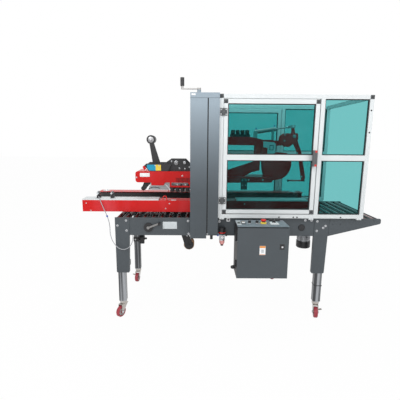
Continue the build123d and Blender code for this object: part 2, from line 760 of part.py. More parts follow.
def reel_arm():
    """Tape reel arm on the head: slanted plate, tie rods, side brackets and the reel's axle."""
    foot = head_top + 1.0
    plate = [
        (head_exit + 116, foot), (head_exit + 119, head_top + 50), (reel_x - 14.0, reel_z - 8.0),
        (reel_x + 15.0, reel_z - 4.0), (head_exit + 174, head_top + 50), (head_exit + 180, foot),
    ]
    made = plate_xz(plate, -44.0, -36.0)
    made += rod(reel_disc_radius, (reel_x, -44.0, reel_z), (reel_x, -36.0, reel_z))
    made += rod(reel_axle, (reel_x, -50.0, reel_z), (reel_x, 32.0, reel_z))
    for x, z in on_head((160, 106), (112, 104)):
        made += rod(8.0, (x, -80.0, z), (x, 80.0, z))
    cheek = on_head((63, 120), (79, 133), (252, 133), (255, 128), (232, 82), (94, 82))
    for side in (-1, 1):
        made += plate_xz(cheek, side * 86.0, side * 78.0)
        made += block(head_exit + 98, head_exit + 228, side * 86.0, side * 66.0, head_top, head_top + 4.0)
    return made


def tape_core(x, z, y0, y1, radius):
    """Round core that carries a roll of tape and turns on its axle."""
    made = rod(radius, (x, y0, z), (x, y1, z))
    return made - rod(reel_axle + running_gap, (x, y0 - 1, z), (x, y1 + 1, z))


def lower_tape_unit():
    """Lower tape head under the bed: side plates, rollers and the reel arm with its axle."""
    x0, low = centre_rollers_first, bed_low
    cheek = [
        (x0, bed_top - 148), (x0 - 12, bed_top - 80), (x0 + 10, bed_top - 8), (x0 + 310, bed_top - 8),
        (x0 + 340, bed_top - 60), (x0 + 320, bed_top - 148),
    ]
    made = plate_xz(cheek, -40.0, -36.0) + plate_xz(cheek, 36.0, 40.0)
    for x, z in ((30.0, -130.0), (170.0, -80.0), (290.0, -130.0)):
        made += rod(7.0, (x0 + x, -40.0, bed_top + z), (x0 + x, 40.0, bed_top + z))
    for x in (x0 + 40, x0 + 280):
        z = bed_top - 20.0
        made += rod(16.0, (x, -35.0, z), (x, 35.0, z)) + rod(6.0, (x, -38.0, z), (x, 38.0, z))
    arm = [
        (lower_reel_x - 33, lower_reel_z + 2), (lower_reel_x - 53, lower_reel_z + 66), (x0 - 140, low - 20),
        (x0 - 136, low - 2), (x0 + 60, low - 2), (x0 + 60, low - 28), (lower_reel_x - 18, low - 35),
        (lower_reel_x + 4, lower_reel_z + 68), (lower_reel_x + 25, lower_reel_z + 20),
        (lower_reel_x + 30, lower_reel_z + 4),
    ]
    made += plate_xz(arm, -50.0, -40.0)
    made += rod(lower_disc_radius, (lower_reel_x, -50.0, lower_reel_z), (lower_reel_x, -40.0, lower_reel_z))
    made += rod(reel_axle, (lower_reel_x, -56.0, lower_reel_z), (lower_reel_x, 34.0, lower_reel_z))
    for side in (-1, 1):
        for x in (x0 + 20, x0 + 290):
            made += block(x, x + 20, side * 38.0, side * head_slot, bed_top - 60, bed_top - 40)
    return made


def beam_body():
    """Upper beam's tapered box, which its ears, posts and the air cylinder's mounts sit on."""
    top, end = flap_beam_top, pivot_x - 42
    outline = [
        (arm_width / 2, top - 57), (arm_width / 2, top), (shoe_left - 99, top), (shoe_left, top - 22),
        (end, top - 28), (end, top - 55), (shoe_left, top - 70), (shoe_left - 60, top - 60),
    ]
    return plate_xz(outline, -flap_beam_half, flap_beam_half)


def flap_beam():
    """Upper beam in the guard, the post that carries it and the ears of the flap arm's pivot."""
    half = flap_beam_half
    top = flap_beam_top
    beam = beam_body()
    ear = make_face(
        Polyline(
            (pivot_x - 96, pivot_z - 36), (pivot_x - 91, pivot_z), (pivot_x - 65, pivot_z + 20),
            (pivot_x + 27, pivot_z + 21), (pivot_x + 30, pivot_z - 21), (pivot_x - 30, pivot_z - 75),
            (pivot_x - 56, pivot_z - 75), (pivot_x - 72, pivot_z - 60), close=True,
        )
    )
    ear = fillet(ear.vertices(), ear_corner)
    for side in (-1, 1):
        beam += across(ear, side * half, side * (half + ear_plate))
        post = [
            (shoe_left - 64, top - 30), (shoe_left - 26, top - 30), (shoe_left - 30, head_tail_top + 44),
            (shoe_left - 66, head_tail_top + 60),
        ]
        beam += plate_xz(post, side * half, side * (half + ear_plate))
    return beam + rod(pivot_radius, (pivot_x, -half - 12.0, pivot_z), (pivot_x, half + 12.0, pivot_z))


def flap_plough():
    """Curved shoe that folds the leading flap: two cheeks and the sheet bent round their edge."""
    half = flap_beam_half
    cheek = shoe_outline(0.0)
    made = across(cheek, -half - shoe_sheet, -half) + across(cheek, half, half + shoe_sheet)
    skin = extrude(Plane.XZ * (cheek - shoe_outline(shoe_sheet)), half, both=True)
    shoulder = head_bottom + 173.0
    cut = block(shoe_left - 130, shoe_left + 270, -half - 1, half + 1, shoulder, shoe_top + 50)
    cut += block(shoe_left - 130, shoe_left + 40, -half - 1, half + 1, head_bottom - 2, shoe_top + 50)
    return made + (skin - cut)


def shoe_outline(inset):
    """Side outline of the plough shoe, drawn in from its edge by an even width."""
    x, z = shoe_left, head_bottom
    nose, belly, heel = (x + 12, z + 32), (x + 81, z + 16), (x + 132, z + 26)
    swell, bulge, crest = (x + 172, z + 56), (x + 195, z + 106), (x + 192, z + 178)
    neck = x + 82
    face = make_face(
        Polyline(
            crest, (neck + 82, z + 210), (neck, z + 216), (neck, shoe_top - neck_radius)
        )
        + ThreePointArc(
            (neck, shoe_top - neck_radius),
            (neck - 0.29 * neck_radius, shoe_top - 0.29 * neck_radius),
            (neck - neck_radius, shoe_top),
        )
        + Polyline((neck - neck_radius, shoe_top), (x - 24, shoe_top), (x - 4, z + 88), nose)
        + ThreePointArc(nose, belly, heel)
        + ThreePointArc(heel, swell, bulge)
        + ThreePointArc(bulge, (x + 199, z + 143), crest)
    )
    return offset(face, -inset) if inset else face


def flap_arm():
    """Arm that folds the trailing flap: hub, long arm, lever for the cylinder and foot bar."""
    x, z = pivot_x, pivot_z
    long_arm = [
        (x - 20, z - 8), (x + 18, z + 10), (x + 66, z - 110), (x + 106, z - 300), (x + 96, z - 326),
        (x + 80, z - 322), (x + 44, z - 130),
    ]
    lever = [(x - 14, z), (lever_x - 10, lever_z + 6), (lever_x + 10, lever_z + 6), (x + 14, z)]
    made = plate_xz(long_arm, -arm_plate / 2, arm_plate / 2) + plate_xz(lever, -arm_plate / 2, arm_plate / 2)
    hub_end = flap_beam_half - 1.0
    made += rod(26.0, (x, -hub_end, z), (x, hub_end, z))
    made += rod(5.0, (x - 19, 0.0, z - 320), (x + 98, 0.0, z - 320))
    return made - rod(pivot_radius + running_gap, (x, -hub_end - 1, z), (x, hub_end + 1, z))


def along_cylinder(distance):
    """A point on the air cylinder's line, measured back from the lever's end."""
    slope = radians(cylinder_slope)
    return lever_x - distance * cos(slope), 0.0, lever_z - distance * sin(slope)


def air_works():
    """Air cylinder on the upper beam, its mounts, the valve block and the switch on the housing."""
    rear, front = along_cylinder(cylinder_rear), along_cylinder(cylinder_front)
    bore = rod(rod_radius + rod_clearance, along_cylinder(bore_rear), along_cylinder(cylinder_front - 5.0))
    made = rod(cylinder_radius, rear, front)
    mount_low = flap_beam_top - 40.0
    made += block(rear[0] - 8.0, rear[0] + 16.0, -16.0, 16.0, mount_low, rear[2] + 6.0)
    made += block(front[0] - 26.0, front[0] - 12.0, -12.0, 12.0, mount_low, front[2] - 2.0)
    made -= beam_body()
    made -= bore
    valves = block(190.0, 330.0, -22.0, 22.0, flap_beam_top, flap_beam_top + 18.0)
    for i in range(valve_count):
        x = 196.0 + valve_pitch * i
        valves += block(x, x + 26.0, -18.0, 18.0, flap_beam_top + 18.0, flap_beam_top + 47.0)
    front_y = -head_half_width
    switch = block(264.0, 308.0, front_y - 13.0, front_y, head_bottom - 46.0, head_bottom + 33.0)
    return [made, valves, switch]


def cylinder_rod():
    """Piston rod with the fork at its end, which straddles the flap arm's lever."""
    made = rod(rod_radius, along_cylinder(rod_rear), along_cylinder(fork_back + 6.0))
    turn = Pos(lever_x, 0, lever_z) * Rot(0, -cylinder_slope, 0)
    cheek_y = arm_plate / 2 + fork_gap + fork_plate_air / 2
    made += turn * Pos(-fork_back, 0, 0) * Box(14.0, (cheek_y + fork_plate_air / 2) * 2, 18.0)
    for side in (-1, 1):
        cheek = Box(fork_back + 14.0, fork_plate_air, 18.0)
        made += turn * Pos((14.0 - fork_back) / 2, side * cheek_y, 0) * cheek
    return made


def air_regulator():
    """Filter and regulator on the bed side, and the cable gland under the column."""
    x, y = regulator_x, -bed_half_width - 34.0
    head_low = regulator_low + 32.0
    made = block(x - 17.0, x + 17.0, y - 17.0, y + 17.0, regulator_low, head_low)
    made += rod(21.0, (x, y, head_low), (x, y, head_low + 45.0))
    made += block(x - 14.0, x + 14.0, y + 16.0, -bed_half_width, head_low + 6.0, head_low + 28.0)
    gland_y = -bed_half_width - 30.0
    gland = rod(9.0, (gland_x, gland_y, column_bottom - 36.0), (gland_x, gland_y, column_bottom))
    return [made, gland]


def regulator_bowl():
    """Clear bowl under the filter."""
    top = regulator_low
    bowl = make_face(
        Polyline((0, top), (17.0, top), (17.0, top - 23), (7.0, top - 44), (0, top - 46), close=True)
    )
    return Pos(regulator_x, -bed_half_width - 34.0, 0) * revolve(Plane.XZ * bowl, Axis.Z)


def box_controls():
    """Meter, rocker, two knobs, stop button and selector on the control box's top."""
    top = box_bottom + box_height
    y = -box_back - box_depth / 2
    x0 = box_left
    meter = block(x0 + 2.0, x0 + 28.0, y - 45.0, y + 45.0, top, top + 6.0)
    rocker = block(x0 + 32.0, x0 + 56.0, y - 20.0, y + 20.0, top, top + 9.0)
    knobs = [
        rod(11.0, (x, y, top), (x, y, top + 5.0)) + rod(8.5, (x, y, top), (x, y, top + 20.0))
        for x in (x0 + 83.0, x0 + 129.0)
    ]
    stop_x = x0 + 169.0
    stop = rod(19.0, (stop_x, y, top), (stop_x, y, top + 9.0))
    stop += rod(9.0, (stop_x, y, top), (stop_x, y, top + 16.0))
    stop += rod(16.0, (stop_x, y, top + 16.0), (stop_x, y, top + 27.0))
    plate_x = x0 + 210.0
    plate = block(plate_x, plate_x + 50.0, y - 30.0, y + 30.0, top, top + 3.0)
    plate += rod(11.0, (plate_x + 24.0, y, top), (plate_x + 24.0, y, top + 17.0))
    return [meter, rocker, *knobs, stop, plate]


def sensor_rails():
    """Pale rails on top of the near belt housing."""
    return [
        block(x0, x1, -beam_outer, -beam_inner - beam_rim - 3.0, beam_top, beam_top + rail_height)
        for x0, x1 in ((beam_exit, exit_rail_end), (infeed_rail_start, x_drive - 9.0))
    ]


def photo_sensors():
    """Two sensor clamps on the near rail, each with its sensor barrel."""
    top = beam_top + rail_height
    made = []
    for x in sensor_places:
        clamp = block(x - 11.0, x + 11.0, -196.0, -166.0, top, top + 18.0)
        clamp += block(x - 6.0, x + 6.0, -187.0, -175.0, top + 18.0, top + 44.0)
        clamp += rod(8.0, (x, -206.0, top + 34.0), (x, -164.0, top + 34.0))
        made.append(clamp)
    return made


def sensor_cord():
    """Sensor lead from the first clamp, down past the bed and up under it, as runs and tangent arcs."""
    points = [Vector(*p) for p in cord_route]
    radii = []
    for before, at, after in zip(points, points[1:], points[2:]):
        first, second = at - before, after - at
        turn = radians(first.get_angle(second))
        radii.append(0.45 * min(first.length, second.length) / tan(turn / 2))
    path = FilletPolyline(*points, radius=radii)
    start = Plane(origin=points[0], z_dir=points[1] - points[0])
    cord = sweep(start * Circle(cord_diameter / 2), path=path)
    print("cord radii", [round(r, 1) for r in radii])
    expected = path.length * pi * (cord_diameter / 2) ** 2
    print("cord length", round(path.length, 1), "volume share", round(cord.volume / expected, 4))
    return cord


# Sizes that follow from the ones above
bed_low = bed_top - bed_depth
rail_end = belt_rollers_first - 25.0
table_rollers_first = belt_rollers_first + roller_pitch * (belt_roller_count - 1) + drive_bay
x_drive = table_rollers_first - drive_setback
beam_infeed = x_drive + drive_drum_inset
slide_height = bed_top - slide_drop
crank_x = exit_rollers_first + roller_pitch * 3.5
infeed_slide_x = belt_rollers_first + roller_pitch * 1.5
head_top = head_bottom + head_depth
head_tail_top = head_bottom + head_tail_depth
press_top = head_bottom - press_drop
press_first_x = head_exit + 260.0
wipe_x = head_exit + 45.0
wipe_z = head_bottom - wipe_drop
reel_x = head_exit + reel_offset
reel_z = head_bottom + reel_lift
lower_reel_x = centre_rollers_first - lower_reel_offset
lower_reel_z = bed_top - lower_reel_drop
flap_beam_top = head_bottom + flap_beam_rise
shoe_top = head_bottom + shoe_rise
pivot_x = shoe_left + pivot_offset
pivot_z = head_bottom + pivot_rise
lever_x = pivot_x + lever_lean
lever_z = pivot_z + lever_length
regulator_x = 119.0
regulator_low = 568.0
gland_x = 50.0
head_slot = 70.0
join_hole_radius = 4.5
join_spacing_y = 540.0
join_spacing_z = 40.0
join_z = bed_low + 45.0

near_side, far_side = bed_sides()
add("bed_side_near", near_side)
add("bed_side_far", far_side)
add("bed_cross_plates", *bed_cross_plates())
add("rollers", *rollers())
add("infeed_table", *infeed_table())

exit_sleeve, exit_tube, exit_leg = leg(bed_exit, bed_exit + tube_inset)
infeed_start = bed_infeed - sleeve_width
infeed_tube_inset = sleeve_width - sleeve_taper - tube_inset - tube_size
infeed_sleeve, infeed_tube, infeed_leg = leg(infeed_start, infeed_start + infeed_tube_inset)
to_far_leg = Pos(-far_leg_setback, 0, 0)
add("leg_sleeves", exit_sleeve, mirrored(exit_sleeve), infeed_sleeve, to_far_leg * mirrored(infeed_sleeve))
add("leg_tubes", exit_tube, mirrored(exit_tube), infeed_tube, to_far_leg * mirrored(infeed_tube))
sealer_casters([
    exit_leg, (exit_leg[0], -exit_leg[1]), infeed_leg, (infeed_leg[0] - far_leg_setback, -infeed_leg[1]),
])

column = columns()
add("column_near", column)
add("column_far", mirrored(column))
add("top_crossbeam", top_crossbeam())
add("lift_rods", *lift_rods())

panes_fixed = []
for side_name, side, post_x in (("near", -1, near_post_x), ("far", 1, far_post_x)):
    fixed, fixed_panes, door, door_panes = guard_side(post_x, side)
    add("guard_frame_" + side_name, *fixed)
    panes_fixed += fixed_panes
    add("door_" + side_name, *door)
    add("door_panes_" + side_name, *door_panes)
add("guard_panes", *panes_fixed)
add("guard_ties", *guard_ties())

housing, belt, works, motor = belt_side()
add("belt_housing_near", *housing)
add("belt_near", *belt)
add("belt_works_near", *works)
add("belt_motor_near", *motor)
add("belt_housing_far", *[mirrored(s) for s in housing])
add("belt_far", *[mirrored(s) for s in belt])
add("belt_works_far", *[mirrored(s) for s in works])
add("belt_motor_far", *[mirrored(s) for s in motor])
add("slide_rods", *slide_rods())

housing, arms = head()
add("head_housing", *housing)
add("head_arms", *arms)
add("tape_head", tape_head())
add("press_rollers", *press_rollers())

add("top_crank", top_crank())
add("side_crank", side_crank())
add("reel_arm", reel_arm())
add("tape_core_top", tape_core(reel_x, reel_z, -35.0, 30.0, upper_core_radius))
add("lower_tape_unit", lower_tape_unit())
add("tape_core_lower", tape_core(lower_reel_x, lower_reel_z, -39.0, 32.0, lower_core_radius))
add("flap_beam", flap_beam())
add("flap_plough", flap_plough())
add("flap_arm", flap_arm())
add("air_works", *air_works())
add("cylinder_rod", cylinder_rod())
add("air_regulator", *air_regulator())
add("regulator_bowl", regulator_bowl())
add("box_controls", *box_controls())
add("sensor_rails", *sensor_rails())
add("photo_sensors", *photo_sensors())
add("sensor_cord", sensor_cord())

body, lid = control_box()
add("control_box", body)
add("control_box_door", lid)

os.makedirs("parts", exist_ok=True)
outline = Compound(children=[shape.moved(Location()) for shape in parts.values()]).bounding_box()
centre = outline.center()
shift = Pos(-centre.X, -centre.Y, 0)
print("origin shift", -centre.X, -centre.Y, "lowest", outline.min.Z, "size", outline.size)
for name, shape in parts.items():
    export_step(shift * shape, f"parts/{name}.step")
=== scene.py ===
import json
from math import cos, pi, radians, sin

import bmesh
import bpy
from bpy.props import FloatProperty, FloatVectorProperty, IntProperty, PointerProperty
from mathutils import Matrix, Vector


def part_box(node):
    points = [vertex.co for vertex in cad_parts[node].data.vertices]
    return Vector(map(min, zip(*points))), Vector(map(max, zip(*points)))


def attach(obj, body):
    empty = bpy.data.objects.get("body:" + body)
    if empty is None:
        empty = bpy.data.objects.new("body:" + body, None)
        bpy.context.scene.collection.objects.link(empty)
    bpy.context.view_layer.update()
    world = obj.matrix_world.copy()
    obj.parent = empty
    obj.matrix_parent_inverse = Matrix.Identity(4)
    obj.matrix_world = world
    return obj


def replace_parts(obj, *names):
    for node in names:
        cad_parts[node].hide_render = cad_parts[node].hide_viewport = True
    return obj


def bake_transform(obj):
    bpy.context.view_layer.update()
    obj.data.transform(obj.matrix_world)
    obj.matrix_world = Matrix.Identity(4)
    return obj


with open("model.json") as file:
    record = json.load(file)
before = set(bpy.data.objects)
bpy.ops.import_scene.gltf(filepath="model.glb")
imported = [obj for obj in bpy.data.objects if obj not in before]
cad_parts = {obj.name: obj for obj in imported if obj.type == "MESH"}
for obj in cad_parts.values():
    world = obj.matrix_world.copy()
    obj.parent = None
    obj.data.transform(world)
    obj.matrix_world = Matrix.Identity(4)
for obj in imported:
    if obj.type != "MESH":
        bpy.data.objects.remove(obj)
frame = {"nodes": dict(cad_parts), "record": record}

bl_info = {
    "name": "Carton sealer",
    "version": (1, 0, 0),
    "blender": (4, 5, 0),
    "location": "View3D > Sidebar > Sealer",
    "description": "Finishes and small parts of a side belt carton sealer with an enclosed flap folder",
    "category": "Object",
}

# Places read from the frame, in metres
NODES = frame["nodes"]
JOINTS = {joint["name"]: joint for joint in frame["record"]["behaviour"]["joints"]}
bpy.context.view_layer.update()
MM = 0.001
GANTRY_X = (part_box("column_near")[0][0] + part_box("column_near")[1][0]) / 2
CENTRE_Y = (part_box("rollers")[0][1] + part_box("rollers")[1][1]) / 2


def place(x, y, z):
    """A point in millimetres from the gantry's centre line, in the frame's metres."""
    return Vector((GANTRY_X + x * MM, CENTRE_Y + y * MM, z * MM))


def back(point):
    """A point of the frame, in millimetres from the gantry's centre line."""
    return Vector(((point[0] - GANTRY_X) / MM, (point[1] - CENTRE_Y) / MM, point[2] / MM))


def span(node):
    """A node's lowest and highest corners, in millimetres from the gantry's centre line."""
    return tuple(back(corner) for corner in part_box(node))


# Main planes of the machine, in millimetres from the gantry's centre line
TO_FRAME = Matrix.Translation(place(0, 0, 0)) @ Matrix.Scale(MM, 4)
UP = (0, 0, 1)
NEARWARD = (0, -1, 0)
FARWARD = (0, 1, 0)
EXITWARD = (-1, 0, 0)
SIDES = {"near": -1, "far": 1}
BED_FACE = -span("bed_side_near")[0].y
SLEEVE_FACE = -span("leg_sleeves")[0].y
COLUMN_EDGE = span("column_near")[1].x
COLUMN_FACE = -span("column_near")[0].y
BAR = 25.0
PANE_LIP = 4.0
DOOR_GAP = 5.0
GUARD_FACE = span("guard_ties")[1].y + BAR
GUARD_TOP = span("guard_ties")[1].z
GUARD_END = span("guard_ties")[1].x
RAIL_LOW, RAIL_HIGH = 1075.0, 1117.0
BELT_FACE = -span("belt_housing_near")[0].y
BELT_TOP = span("belt_housing_near")[1].z
BELT_EXIT = span("belt_housing_near")[0].x
DRUM_Y = 171.0
HEAD_FACE = -span("head_housing")[0].y
BOX_LOW, BOX_HIGH = span("control_box")
BOX_DOOR_FACE = span("control_box_door")[0].y


# Shader sockets as Python values
class Value:
    """A shader socket that takes part in Python expressions."""

    def __init__(self, shader, socket):
        self.shader = shader
        self.socket = socket

    def maths(self, operation, *inputs):
        return self.shader.node("ShaderNodeMath", {"operation": operation}, dict(enumerate(inputs)))

    def __add__(self, other):
        return self.maths("ADD", self, other)

    def __radd__(self, other):
        return self.maths("ADD", other, self)

    def __sub__(self, other):
        return self.maths("SUBTRACT", self, other)

    def __rsub__(self, other):
        return self.maths("SUBTRACT", other, self)

    def __mul__(self, other):
        return self.maths("MULTIPLY", self, other)

    def __rmul__(self, other):
        return self.maths("MULTIPLY", other, self)

    def __gt__(self, other):
        return self.maths("GREATER_THAN", self, other)

    def __lt__(self, other):
        return self.maths("LESS_THAN", self, other)

    def __or__(self, other):
        return self.maths("MAXIMUM", self, other)

    def __abs__(self):
        return self.maths("ABSOLUTE", self)

    def clipped(self):
        return self.shader.node(
            "ShaderNodeMath", {"operation": "ADD", "use_clamp": True}, {0: self, 1: 0.0}
        )


class Shader:
    """A material whose surface is one Principled BSDF, built from node expressions."""

    def __init__(self, name):
        self.material = bpy.data.materials.new(name)
        self.material.use_nodes = True
        self.tree = self.material.node_tree
        self.tree.nodes.clear()
        self.output = self.tree.nodes.new("ShaderNodeOutputMaterial")
        self.surface = self.tree.nodes.new("ShaderNodeBsdfPrincipled")
        self.tree.links.new(self.surface.outputs["BSDF"], self.output.inputs["Surface"])
        self.point = self.node("ShaderNodeTexCoord", output="Object")

    def node(self, kind, settings=None, inputs=None, output=0):
        """Adds a node of a kind, makes its settings, then feeds its sockets."""
        made = self.tree.nodes.new(kind)
        for key, setting in (settings or {}).items():
            setattr(made, key, setting)
        for key, given in (inputs or {}).items():
            if isinstance(given, Value):
                self.tree.links.new(given.socket, made.inputs[key])
            else:
                made.inputs[key].default_value = given
        return Value(self, made.outputs[output])

    def scaled(self, x, y, z):
        """The point stretched along each axis."""
        return self.node("ShaderNodeMapping", inputs={"Vector": self.point, "Scale": (x, y, z)})

    def along(self, axis):
        """The place along an axis, in metres from the gantry's centre line."""
        got = self.node("ShaderNodeSeparateXYZ", inputs={"Vector": self.point}, output=axis)
        start = {"X": GANTRY_X, "Y": CENTRE_Y, "Z": 0.0}[axis]
        return got - start if start else got

    def noise(self, scale, detail=2.0, roughness=0.5, point=None):
        sockets = {"Vector": point or self.point, "Scale": scale, "Detail": detail, "Roughness": roughness}
        return self.node("ShaderNodeTexNoise", inputs=sockets, output="Fac")

    def window(self, across, up):
        """One inside a rectangle of X and Z, in millimetres, and nought outside it."""
        x, z = self.along("X"), self.along("Z")
        return (x > across[0] * MM) * (x < across[1] * MM) * (z > up[0] * MM) * (z < up[1] * MM)

    def mix(self, factor, first, second):
        """A blend of two colours."""
        return self.node(
            "ShaderNodeMix", {"data_type": "RGBA"}, {0: factor, 6: first, 7: second}, output=2
        )

    def vary(self, factor, colour, low, high):
        """A colour between a darker and a lighter shade of itself."""
        return self.mix(factor, shade(colour, low), shade(colour, high))

    def mix_shaders(self, factor, first, second):
        """Makes the surface a blend of two shaders."""
        mixed = self.node("ShaderNodeMixShader", inputs={0: factor, 1: first, 2: second})
        self.tree.links.new(mixed.socket, self.output.inputs["Surface"])

    def principled(self):
        return Value(self, self.surface.outputs["BSDF"])

    def bump(self, height, strength=0.3, distance=0.001):
        return self.node(
            "ShaderNodeBump", inputs={"Height": height, "Strength": strength, "Distance": distance}
        )

    def feed(self, **sockets):
        """Sets or links the surface's sockets, named with underlines for spaces."""
        for key, given in sockets.items():
            socket = self.surface.inputs[key.replace("_", " ")]
            if isinstance(given, Value):
                self.tree.links.new(given.socket, socket)
            else:
                socket.default_value = given
        return self.material


def shade(colour, factor):
    """A colour made darker or lighter, with full alpha."""
    return (*[min(1.0, c * factor) for c in colour[:3]], 1.0)


# Height in metres from which painted light makes a coat paler towards its top, and how fast it grows
TOP_LIGHT_FROM, TOP_LIGHT_RATE = 0.75, 1.5


def powder_tone(s, colour):
    """Powder coat's grain and cloudiness, and its colour with that cloudiness."""
    grain, cloud = s.noise(1500.0, 2.0), s.noise(5.0, 3.0)
    return grain, cloud, s.vary(cloud, colour, 0.86, 1.16)


def powder_coat(name, colour, rough=0.38, top_light_painted=0.0):
    """Fine textured powder coat with a faint cloudiness, dull rubbed patches and, where asked, a top made
    paler by painted light.
    """
    s = Shader(name)
    grain, cloud, tone = powder_tone(s, colour)
    rub = ((s.noise(34.0, 6.0, 0.7) - 0.56) * 3.0).clipped()
    tone = s.mix(rub * 0.16, tone, shade(colour, 1.7))
    # Painted light: the coat pales towards its top, standing in for light from above reflected on it
    if top_light_painted:
        high = ((s.along("Z") - TOP_LIGHT_FROM) * TOP_LIGHT_RATE).clipped()
        tone = s.mix(high * high, tone, shade(colour, 1 + top_light_painted))
    return s.feed(
        Base_Color=tone, Roughness=rough + cloud * 0.1 - grain * 0.05 - rub * 0.06,
        Normal=s.bump(grain, 0.32, 0.0006),
    )


def gloss_paint(name, colour, coat=0.06):
    """Smooth sprayed paint with orange peel, fine dust, painted pinkish highlight patches and a clear top."""
    s = Shader(name)
    peel = s.noise(260.0, 1.0)
    cloud = s.noise(3.0, 2.0)
    dust = s.noise(60.0, 8.0, 0.8)
    tone = s.vary(cloud, colour, 0.88, 1.1)
    tone = s.mix(((dust - 0.6) * 4.0).clipped() * 0.12, tone, shade(colour, 1.8))
    # Painted highlight: broad pinkish patches stand in for reflections on the gloss
    painted_highlight = ((s.noise(1.0, 1.0, point=s.scaled(7.0, 3.0, 2.0)) - 0.5) * 4.0).clipped()
    highlight_pink = (min(1.0, colour[0] * 1.25), colour[1] + 0.16, colour[2] + 0.2, 1.0)
    tone = s.mix(painted_highlight * 0.22, tone, highlight_pink)
    return s.feed(
        Base_Color=tone, Roughness=0.22 + dust * 0.14, Specular_IOR_Level=0.18, Coat_Weight=coat,
        Coat_Roughness=0.1, Normal=s.bump(peel, 0.06, 0.0008),
    )


def brushed_metal(name, colour, stretch, rough=0.26, metallic=1.0):
    """Metal with fine marks drawn out along one axis."""
    s = Shader(name)
    marks = s.noise(1.0, 4.0, 0.7, point=s.scaled(*stretch))
    cloud = s.noise(14.0, 3.0)
    tone = s.vary(marks, colour, 0.82, 1.1)
    return s.feed(
        Base_Color=tone, Metallic=metallic, Roughness=rough + marks * 0.16 + cloud * 0.06,
        Normal=s.bump(marks, 0.12, 0.0004),
    )


def drawn_tube(name, colour):
    """Dark drawn steel with painted highlight streaks down its length, standing in for reflected light."""
    s = Shader(name)
    fine = s.noise(1.0, 3.0, 0.6, point=s.scaled(500.0, 500.0, 6.0))
    # Painted highlight: wide bright streaks along the tube stand in for reflected light
    highlight_streaks = ((s.noise(1.0, 1.0, point=s.scaled(48.0, 48.0, 0.8)) - 0.46) * 5.0).clipped()
    tone = s.vary(highlight_streaks, colour, 1.0, 6.5)
    tone = s.mix(fine * 0.4, tone, shade(colour, 1.2))
    return s.feed(
        Base_Color=tone, Metallic=0.85, Roughness=0.24 + fine * 0.16, Normal=s.bump(fine, 0.1, 0.0004)
    )


def zinc_plate(name, colour, rough=0.22):
    """Bright plated steel with uneven brightness."""
    s = Shader(name)
    patch = s.noise(90.0, 4.0, 0.6)
    tone = s.vary(patch, colour, 0.75, 1.15)
    return s.feed(
        Base_Color=tone, Metallic=1.0, Roughness=rough + patch * 0.2, Normal=s.bump(patch, 0.08, 0.0005)
    )


def rubber(name, colour, rough=0.6, grain=700.0):
    """Matt rubber with a fine grain and paler scuffs."""
    s = Shader(name)
    fine = s.noise(grain, 3.0)
    scuff = s.noise(45.0, 5.0, 0.7)
    tone = s.vary(scuff, colour, 0.8, 1.5)
    return s.feed(Base_Color=tone, Roughness=rough + scuff * 0.15, Normal=s.bump(fine, 0.2, 0.0006))


def plastic(name, colour, rough=0.4):
    """Moulded plastic with a soft sheen and a light grain."""
    s = Shader(name)
    fine = s.noise(900.0, 2.0)
    cloud = s.noise(25.0, 3.0)
    tone = s.vary(cloud, colour, 0.9, 1.1)
    return s.feed(Base_Color=tone, Roughness=rough + cloud * 0.1, Normal=s.bump(fine, 0.1, 0.0004))


def card(name, colour):
    """Wound paper: thin layers round the reel and a fibrous tone."""
    s = Shader(name)
    fibre = s.noise(1.0, 5.0, 0.7, point=s.scaled(500.0, 60.0, 500.0))
    tone = s.vary(fibre, colour, 0.75, 1.2)
    return s.feed(Base_Color=tone, Roughness=0.8, Normal=s.bump(fibre, 0.3, 0.0006))


def two_finishes(name, first, second, mask):
    """Two finishes on one piece, parted by place. Each is a colour, a roughness and a metallic."""
    s = Shader(name)
    part = mask(s)
    fine = s.noise(900.0, 2.0)
    cloud = s.noise(18.0, 4.0, 0.6)
    tones = [s.vary(cloud, finish[0], 0.82, 1.18) for finish in (first, second)]
    metal = first[2] if first[2] == second[2] else first[2] + part * (second[2] - first[2])
    return s.feed(
        Base_Color=s.mix(part, *tones), Metallic=metal,
        Roughness=first[1] + part * (second[1] - first[1]) + cloud * 0.1,
        Normal=s.bump(fine, 0.12, 0.0005),
    )


def tinted_pane(name, colour, gloss):
    """Clear tinted sheet: most light goes through its colour, and the rest is reflected."""
    s = Shader(name)
    haze = s.noise(5.0, 3.0)
    tone = s.vary(haze, colour, 0.96, 1.04)
    clear = s.node("ShaderNodeBsdfTransparent", inputs={"Color": (*colour[:3], 1.0)}, output="BSDF")
    edge = s.node("ShaderNodeFresnel", inputs={"IOR": 1.45})
    s.feed(Base_Color=tone, Roughness=0.04 + haze * 0.02)
    s.mix_shaders((edge * gloss + (haze - 0.45).clipped() * 0.06).clipped(), clear, s.principled())
    return s.material


